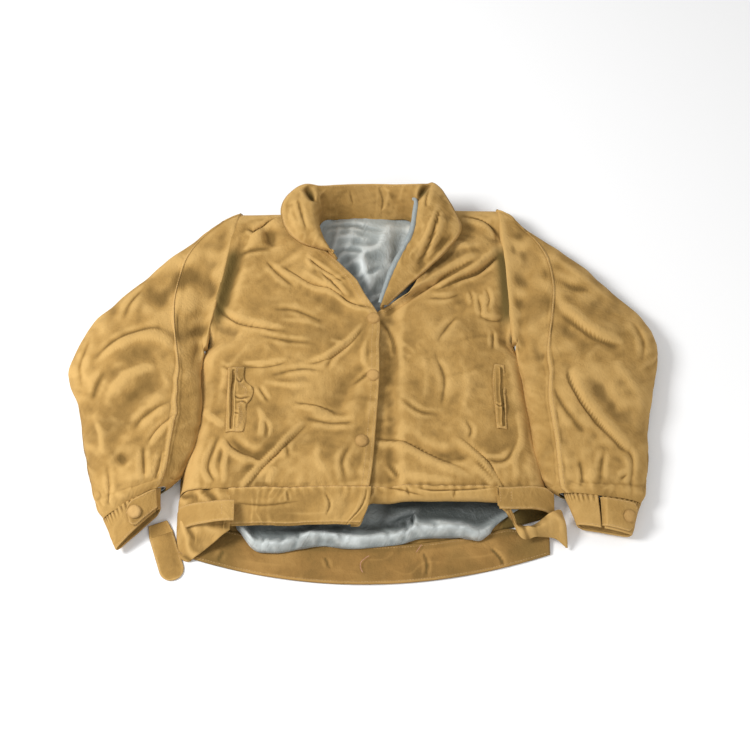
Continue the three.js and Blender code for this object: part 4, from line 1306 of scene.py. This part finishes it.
FOLDS_SLEEVE_LEFT = [
    ["pleat", 16, 8, [(300, 128), (340, 92), (379, 58), (414, 44)]],
    ["hollow", 18, 6, [(296, 96), (330, 60), (366, 30)]],
    ["ridge", 15, 6, [(300, 220), (356, 170), (410, 120)]],
    ["crease", 8, 5, [(290, 170), (330, 150), (372, 140)]],
    ["pleat", 13, 9, [(324, -4), (340, -40), (372, -90), (424, -150)]],
    ["hollow", 16, 7, [(350, -20), (380, -62), (420, -104)]],
    ["crease", 8, 4, [(296, -40), (316, -80), (344, -116)]],
    ["ridge", 13, 5, [(392, 10), (424, -30), (440, -70)]],
    ["crease", 5, 5, [(370, -140), (364, -166), (360, -196)]],
    ["crease", 5, 5, [(392, -186), (406, -176)]],
    ["crease", 5, 4, [(330, -150), (334, -180), (330, -204)]],
    ["ridge", 8, 4, [(346, -150), (348, -180), (344, -204)]],
    ["crease", 6, 4, [(410, -130), (414, -160), (408, -200)]],
    ["ridge", 10, 4, [(300, -120), (310, -160), (312, -190)]],
    ["crease", 7, 4, [(430, 90), (446, 50), (440, 10)]],
    ["hollow", 12, 5, [(270, 60), (280, 10), (290, -30)]],
]


def crumple_sleeve(grid, sign, folds, seed, amount=1.0):
    """Worn folds and creases, pressed into the side of a sleeve that faces up or out."""
    normal = facing_of(grid, sign)
    x, y, z = (grid[..., k].copy() for k in range(3))
    up = ease(normal[..., 2] / 0.5)
    lumps = rough(x, y + z * 0.7, 90, seed, 3) * 6 + rough(x, y + z, 34, seed + 1, 3) * 1.6
    broad = crumple(x, y + z, 48, seed + 2, 30 * sign, 3)
    fine = crumple(x, y + z, 24, seed + 3, -30 * sign)
    lumps += broad * 1.1 + fine * 0.5
    grid += normal * (lumps * mix(0.35, 1, up) * amount)[..., None]
    pressed = soften(lay_folds(grid.copy(), folds), 2)
    grid += (pressed - grid) * up[..., None]
    grid[..., 2] = np.maximum(grid[..., 2], HIDE + 0.2)
    return grid


def swing_sleeve(piece):
    """Bakes a sleeve piece's transform into its mesh."""
    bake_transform(piece)


def gather_to_cuff(grid, at, side, depth=5.0):
    """Draws the end of the sleeve in to its cuff, in small gathers."""
    last = ease((at - 7.72) / 0.28)[:, None]
    end = sleeve_sections(side, np.array([8.0]))[0]
    middle = np.array([side["sign"] * (end[0] + end[2]) / 2, (end[1] + end[3]) / 2, end[6] / 2 + 4])
    away = grid - middle
    near_end = ease((at - 7.1) / 0.6)[:, None] * (1 - last)
    across = np.hypot(away[..., 0], away[..., 1]) * np.sign(away[..., 0])
    around = np.arctan2(away[..., 2] * 3, across)
    ripple = np.sin(around * 15 + 5 * rough(grid[..., 0], grid[..., 1], 26, 9, 2))
    size = np.linalg.norm(away, axis=2)
    grid += away / np.maximum(size, 1)[..., None] * (ripple * 0.6 * near_end - depth * last)[..., None]
    return grid


HEAD = [-0.06, -0.045, -0.03, -0.01, 0.01]
AT = np.concatenate([HEAD, np.linspace(0.04, 7.5, 148), np.linspace(7.53, 8.03, 16)])
sleeves = {}
for side, folds, seed in ((right, FOLDS_SLEEVE_RIGHT, 111), (left, FOLDS_SLEEVE_LEFT, 131)):
    sign = side["sign"]
    name = side["name"]
    seam = np.degrees(np.arccos(1 - 2 * np.clip(sleeve_sections(side, AT)[:, 7], 0.03, 0.97)))[:, None]
    for panel, first, last, columns, nodes in (
        ("upper", -14 + 0 * seam, seam, 90, "sleeve_" + name + "_upper"),
        ("forward", seam - 1.0, 196 + 0 * seam, 60, "sleeve_" + name + "_front"),
        ("under", 194 + 0 * seam, 348 + 0 * seam, 60, "sleeve_" + name + "_under"),
    ):
        degrees = mix(first, last, np.linspace(0, 1, columns)[None, :])
        grid = sleeve_grid(side, AT, degrees, 0.0)
        crumple_sleeve(grid, sign, folds, seed, 0.35 if panel == "under" else 1.0)
        gather_to_cuff(grid, AT, side)
        if panel != "under":
            hold = np.ones(grid.shape[:2])
            hold[6:-14, 5:-5] = 0.02
            grid = drape(grid, sign, soften(hold[..., None], 3)[..., 0], 0.03, 6)
        if panel == "upper":
            lip = grid[:, ::-1].copy()
            normal = facing_of(grid, sign)[:, ::-1]
            step_lengths = np.linalg.norm(np.diff(lip[:, :10], axis=1), axis=2)
            width = np.concatenate(
                [np.zeros((len(lip), 1)), np.cumsum(step_lengths, axis=1)],
                axis=1,
            )
            bead = 1.7 * np.exp(-(((width - 4) / 5) ** 2)) - 0.8 * np.exp(-width)
            lip[:, :10] += normal[:, :10] * bead[..., None]
            grid = lip[:, ::-1].copy()
        # The under panels take the darker olive hide, as painted shade on the sleeves' undersides.
        colour = shaded_hide_colour if panel == "under" else hide_colour
        piece = cut_piece("sleeve_" + name + "_" + panel + "_hide", grid, sign, colour, HIDE - 0.3)
        swing_sleeve(piece)
        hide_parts(nodes)
        sleeves[name, panel] = grid
        if panel == "upper":
            rows = rows_beside(grid[14:-6, ::-1], -sign, (2.6, 8.2))
            sewn = stitches("stitching_sleeve_" + name, rows)
            swing_sleeve(sewn)
            head = grid[3:].transpose(1, 0, 2)
            sewn = stitches("stitching_armhole_" + name, rows_beside(head, -sign, (3.0,)))
            swing_sleeve(sewn)
    angles = np.linspace(4, 350, 70)[None, :]
    tube = sleeve_grid(side, np.linspace(0.3, 7.9, 90), angles, HIDE + 7.5)
    x, y = tube[..., 0], tube[..., 1]
    normal = facing_of(tube, sign)
    tube += normal * (crumple(x, y, 30, 151, 40) * 1.2 - 0.6)[..., None]
    tube[..., 2] = np.maximum(tube[..., 2], HIDE + 2)
    inside = cut_piece("sleeve_" + name + "_lining_satin", tube, sign, lining_colour, LINING)
    swing_sleeve(inside)
    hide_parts("sleeve_" + name + "_lining")

# Cuffs
# A double band sewn to the gathered sleeve, open at a slot. One end goes on as a tab, which
# is snapped down over the band.
CUFF = 50.0
CUFF_PLY = 3.2
TAB_LIFT = 6.5
right["cuff_end"] = [380, -293, 308, -222, 14, 20, 34]
left["cuff_end"] = [411, -275, 322, -258, 14, 20, 34]
right["tab"] = {"root": 150, "tip": 78, "snap": 92}
left["tab"] = {"root": 95, "tip": 30, "snap": 48}


def cuff_point(side, t, degrees, inset):
    """A point on the cuff: t is 0 at the sleeve and 1 at its free end."""
    start = sleeve_sections(side, np.array([8.0]))[0]
    end = np.array(side["cuff_end"] + [0], float)
    outer_x, outer_y, inner_x, inner_y, outer_z, inner_z, top, _ = (
        mix(start[k], end[k], t) for k in range(8)
    )
    angle = np.radians(degrees)
    half_x, half_y = (outer_x - inner_x) / 2, (outer_y - inner_y) / 2
    width = np.hypot(half_x, half_y)
    share = (width - inset) / width * np.cos(angle)
    middle = mix(outer_z, inner_z, (1 - np.cos(angle)) / 2)
    rise = np.sin(angle)
    above = middle + (top - (outer_z + inner_z) / 2 - inset) * rise
    z = np.where(rise >= 0, above, mix(middle, inset, np.minimum(1, -1.6 * rise)))
    x = side["sign"] * ((outer_x + inner_x) / 2 + half_x * share)
    return np.stack([x, (outer_y + inner_y) / 2 + half_y * share, z + 0 * x], -1)


def cuff_reach(side):
    start = sleeve_sections(side, np.array([8.0]))[0]
    end = side["cuff_end"]
    return (CUFF + 3) / math.hypot(end[0] - start[0], end[1] - start[1])


for side in (right, left):
    sign = side["sign"]
    name = side["name"]
    body = "sleeve_" + name
    reach = cuff_reach(side)
    slot = side["tab"]["root"] - 4
    t = np.linspace(-0.04, reach, 40)[:, None]
    angles = np.linspace(slot, slot - 353, 150)[None, :]
    grid = cuff_point(side, t + 0 * angles, angles + 0 * t, TAB_LIFT - 1.5)
    x, y = grid[..., 0], grid[..., 1]
    normal = facing_of(grid, -sign)
    lumps = rough(x, y, 34, 161, 2) * 1.2 + crumple(x, y, 18, 162, 60) * 0.8
    puckers = np.sin(np.radians(angles) * 40) * 0.7 * np.exp(-((t + 0.0) / reach * 5) ** 2)
    hem = -1.6 * (1 - quarter((reach - t) * 53 / reach / 4.0))
    grid += normal * (lumps + puckers + hem)[..., None]
    grid[..., 2] = np.maximum(grid[..., 2], 1.0 + CUFF_PLY)
    cuff = cut_piece("cuff_" + name + "_hide", grid, -sign, hide_colour, CUFF_PLY)
    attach(cuff, body)
    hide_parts("cuff_" + name + "_band")
    rows = rows_beside(grid[::-1].transpose(1, 0, 2), sign, (4.0,))
    rows += rows_beside(grid.transpose(1, 0, 2), -sign, (4.5,))
    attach(stitches("stitching_cuff_" + name, rows), body)

    tab = side["tab"]
    t = np.linspace(0.05, reach * 0.96, 36)[:, None]
    angles = np.linspace(tab["root"], tab["tip"], 60)[None, :]
    run = (tab["root"] - angles) / (tab["root"] - tab["tip"])
    middle = (t - 0.05) / (reach * 0.96 - 0.05) - 0.5
    round_tip = np.sqrt(np.clip(1 - (np.maximum(run - 0.78, 0) / 0.24) ** 2, 0.02, 1))
    centre = (0.05 + reach * 0.96) / 2
    spread = centre + middle * (reach * 0.96 - 0.05) * round_tip
    plate = cuff_point(side, spread, angles + 0 * t, -1.2)
    normal = facing_of(plate, -sign)
    rim = np.minimum((0.5 - np.abs(middle)) * CUFF * round_tip, (1.001 - run) * 40)
    x, y = plate[..., 0], plate[..., 1]
    shape = -1.5 * (1 - quarter(rim / 2.4)) + rough(x, y, 24, 165, 2) * 0.7
    shape = shape - (TAB_LIFT - 2.0) * ease((0.14 - run) / 0.14)
    plate += normal * shape[..., None]
    flap = cut_piece("cuff_" + name + "_tab_hide", plate, -sign, hide_colour, 2.2)
    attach(flap, "cuff_tab_" + name)
    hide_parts("cuff_" + name + "_tab")
    rows = rows_beside(plate.transpose(1, 0, 2), -sign, (3.2,))
    rows += rows_beside(plate[::-1].transpose(1, 0, 2), sign, (3.2,))
    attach(stitches("stitching_tab_" + name, rows), "cuff_tab_" + name)

# Collar
# A deep shawl collar. It stands up behind the neck and rolls outwards over each shoulder. On
# the left it runs down the open front as a lapel; each station is [seam, roll, edge].
COLLAR_PLY = 3.6
RIGHT_LOBE = [
    [(44, 202, 49), (50, 206, 60), (58, 212, 57)],
    [(56, 214, 36), (63, 217, 66), (98, 224, 57)],
    [(66, 232, 26), (75, 232, 72), (124, 244, 57)],
    [(76, 258, 20), (84, 262, 75), (138, 274, 58)],
    [(77, 285, 14), (84, 296, 74), (136, 304, 64)],
    [(66, 299, 12), (74, 318, 62), (108, 330, 72)],
    [(50, 303, 6), (56, 321, 48), (74, 332, 69)],
]
STAND = [
    [(30, 304, 3), (31, 322, 38), (38, 338, 64)],
    [(0, 305, 3), (0, 323, 36), (0, 340, 62)],
]
LEFT_LOBE = [
    [(66, 299, 10), (72, 314, 54), (86, 332, 74)],
    [(78, 290, 12), (88, 302, 72), (118, 330, 76)],
    [(80, 264, 18), (86, 270, 77), (148, 292, 62)],
    [(74, 236, 24), (80, 238, 75), (160, 252, 61)],
    [(60, 204, 32), (64, 204, 70), (136, 214, 58)],
    [(46, 170, 38), (47, 170, 64), (106, 182, 56)],
    [(36, 138, 44), (36, 138, 60), (70, 146, 55)],
    [(26, 110, 45), (27, 110, 56), (37, 113, 53)],
]


def mirrored(stations, sign):
    return [[(sign * x, y, z) for x, y, z in points] for points in stations]


stations = mirrored(RIGHT_LOBE, -1) + mirrored(STAND[:1], -1) + STAND[1:]
stations += mirrored(STAND[:1], 1) + LEFT_LOBE
columns = 330
at = np.linspace(0, len(stations) - 1, columns)
knots = np.arange(len(stations))
points = np.array(stations, float)
lines = np.stack(
    [
        np.stack([drawn(list(zip(knots, points[:, k, axis])), at) for axis in range(3)], -1)
        for k in range(3)
    ]
)
t = np.linspace(0, 1, 44)[:, None, None]
seam_line, roll_line, edge_line = (lines[k][None] for k in range(3))
collar = (1 - t) ** 2 * seam_line + 2 * t * (1 - t) * (2 * roll_line - (seam_line + edge_line) / 2)
collar = collar + t**2 * edge_line
normal = facing_of(collar, 1)
outward = 1 if normal[22, columns // 8, 2] > 0 else -1
normal = normal * outward
x, y = collar[..., 0].copy(), collar[..., 1].copy()
wide = ease(np.linalg.norm(edge_line - seam_line, axis=2) / 60)
lumps = rough(x, y + collar[..., 2], 46, 171, 3) * 2.6 + crumple(x, y, 24, 172, 80) * 1.1
collar += normal * (lumps * wide)[..., None]
lay_folds(
    collar,
    [
        ["hollow", 6, 16, [(-100, 326), (-91, 313), (-84, 296)]],
        ["hollow", 6, 17, [(110, 334), (97, 318), (86, 298)]],
        ["hollow", 9, 7, [(150, 238), (126, 222), (104, 200), (80, 168)]],
        ["ridge", 8, 4, [(120, 300), (116, 270), (100, 232), (80, 200)]],
        ["crease", 4.5, 8, [(122, 280), (119, 262), (111, 233), (100, 208), (86, 184)]],
        ["ridge", 6, 4, [(132, 268), (124, 238), (112, 212), (98, 188)]],
        ["crease", 5, 3, [(110, 330), (102, 300), (100, 280)]],
        ["crease", 5, 3, [(-112, 300), (-104, 270), (-96, 240)]],
        ["ridge", 8, 3, [(-124, 290), (-120, 262), (-108, 236)]],
        ["crease", 4, 3, [(22, 336), (30, 322), (26, 308)]],
        ["ridge", 5, 3, [(30, 338), (40, 324), (46, 310)]],
        ["crease", 4, 2.5, [(-26, 332), (-20, 318)]],
    ],
)
rim = collar[::-1].transpose(1, 0, 2).copy()
roll_edge(rim, 2.0, 4.0)
collar = rim.transpose(1, 0, 2)[::-1]
# Painted shade in the two holes where the collar rolls into a tunnel over each shoulder.
hole = np.minimum(
    np.hypot(collar[..., 0] + 91, (collar[..., 1] - 312) / 1.6),
    np.hypot(collar[..., 0] - 97, (collar[..., 1] - 316) / 1.6),
)
hole_shade = np.exp(-((hole / 7) ** 2))
collar_piece = cut_piece("collar_hide", collar, outward, hide_colour, COLLAR_PLY, shade_and_stain=hole_shade)
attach(collar_piece, "root")
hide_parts("collar_stand", "collar_right_lobe", "collar_left_lobe", "front_left_revers")
edge_rows = rows_beside(collar[::-1].transpose(1, 0, 2), -outward, (5.0,))
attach(stitches("stitching_collar", edge_rows), "root")

# Lapel lining
# The satin is turned out over the roll of the left lapel, as a soft narrow strip.
spine = lines[1][206:-4] + np.array([-4.0, 0, -3.0])
turn = np.linspace(0, 2 * math.pi, 20)
ahead = np.gradient(spine, axis=0)
ahead /= np.linalg.norm(ahead, axis=1, keepdims=True)
across_strip = np.cross(ahead, np.array([0, 0, 1.0]))
across_strip /= np.linalg.norm(across_strip, axis=1, keepdims=True)
up_strip = np.cross(across_strip, ahead)
ends = np.sin(np.linspace(0.25, math.pi - 0.25, len(spine)))[:, None, None] ** 0.4
swollen = 1 + 0.25 * rough(spine[:, 1], spine[:, 0], 18, 175, 2)[:, None, None]
strip = spine[:, None] + ends * swollen * (
    across_strip[:, None] * np.cos(turn)[None, :, None] * 5.0
    + up_strip[:, None] * np.sin(turn)[None, :, None] * 5.5
)
roll_strip = cut_piece("lapel_lining_satin", strip, 1, lining_colour, 0)
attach(roll_strip, "root")

# Press studs
# Four-part studs: a cap covered in the jacket's own hide, with a brass socket under it, and a
# brass stud on the ply beneath.
def brushed_brass(name):
    material, tree, shader = new_material(name, 0.34)
    shader.inputs["Metallic"].default_value = 1.0
    place = tree.nodes.new("ShaderNodeTexCoord")
    tone_source = tree.nodes.new("ShaderNodeTexNoise")
    tone_source.inputs["Scale"].default_value = 420
    tone_source.inputs["Detail"].default_value = 4
    tree.links.new(place.outputs["Object"], tone_source.inputs["Vector"])
    ends = [(0.35, linear(120, 92, 44)), (0.65, linear(196, 160, 92))]
    tree.links.new(ramp_node(tree, tone_source.outputs["Fac"], ends), shader.inputs["Base Color"])
    tree.links.new(range_node(tree, tone_source.outputs["Fac"], 0.3, 0.7, 0.28, 0.5), shader.inputs["Roughness"])
    bump_node(tree, shader, [(tone_source.outputs["Fac"], 0.00008)])
    return material


brass_colour = brushed_brass("brushed_brass")
button_colour = suede("covered_button", (216, 178, 118), (196, 156, 96), (130, 98, 52), 0.3)
CAP_PROFILE = [[0, 2.7], [3, 2.6], [6, 2.2], [8.6, 1.3], [10, 0.2], [10.6, -0.8], [10.2, -1.6]]
for label, body in (
    ("front_1", "front_right_flap"),
    ("front_2", "front_right_flap"),
    ("front_3", "front_right_flap"),
    ("cuff_right", "cuff_tab_right"),
    ("cuff_left", "cuff_tab_left"),
):
    low, high = (np.array(corner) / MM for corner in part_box("snap_cap_" + label))
    centre = (low + high) / 2
    if label.startswith("front"):
        axis = np.array([0, 0.02, 1.0])
    elif label.endswith("right"):
        axis = np.array([0.06, -0.22, 0.97])
    else:
        axis = np.array([0.30, -0.14, 0.94])
    axis /= np.linalg.norm(axis)
    east = np.cross([0, 1.0, 0], axis)
    east /= np.linalg.norm(east)
    north = np.cross(axis, east)
    turn = np.linspace(0, 2 * math.pi, 56)[None, :, None]
    radius = np.linspace(0.02, 10.6, 26)[:, None, None]
    height = drawn(CAP_PROFILE, radius)
    ripple = rough(radius[..., 0] * np.cos(turn[..., 0]), radius[..., 0] * np.sin(turn[..., 0]), 7, 181, 2)
    height = height + ripple[..., None] * 0.16
    cap = centre + (east * np.cos(turn) + north * np.sin(turn)) * radius * 0.92 + axis * (height + 0.1)
    button = cut_piece("snap_cap_" + label + "_hide", cap, 1, button_colour, 0.8)
    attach(button, body)
    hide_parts("snap_cap_" + label)
    for part in ("snap_socket_", "snap_stud_"):
        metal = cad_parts[part + label]
        metal.data.materials.clear()
        metal.data.materials.append(brass_colour)

# Table and light
# A plain pale table under soft, even light from above and a little from the left.
bpy.ops.mesh.primitive_plane_add(size=12, location=(0, 0, -0.0006))
table_top = bpy.context.object
table_top.name = "table_top"
paper, tree, shader = new_material("pale_paper", 0.9)
shader.inputs["Base Color"].default_value = (0.92, 0.92, 0.92, 1)
table_top.data.materials.append(paper)


def softbox(name, place, size, power):
    light = bpy.data.lights.new(name, "AREA")
    light.shape = "SQUARE"
    light.size = size
    light.energy = power
    lamp = bpy.data.objects.new(name, light)
    lamp.location = place
    lamp.rotation_euler = (look_at - Vector(place)).to_track_quat("-Z", "Y").to_euler()
    bpy.context.scene.collection.objects.link(lamp)


softbox("key_light", (-1.7, 0.0, 1.8), 0.8, 54)
softbox("fill_light", (1.0, -1.7, 1.7), 1.6, 15)
sky = bpy.data.worlds.new("sky")
sky.use_nodes = True
sky.node_tree.nodes["Background"].inputs["Color"].default_value = (1, 1, 1, 1)
sky.node_tree.nodes["Background"].inputs["Strength"].default_value = 0.55
bpy.context.scene.world = sky
bpy.context.scene.view_settings.view_transform = "Standard"

bpy.context.view_layer.update()
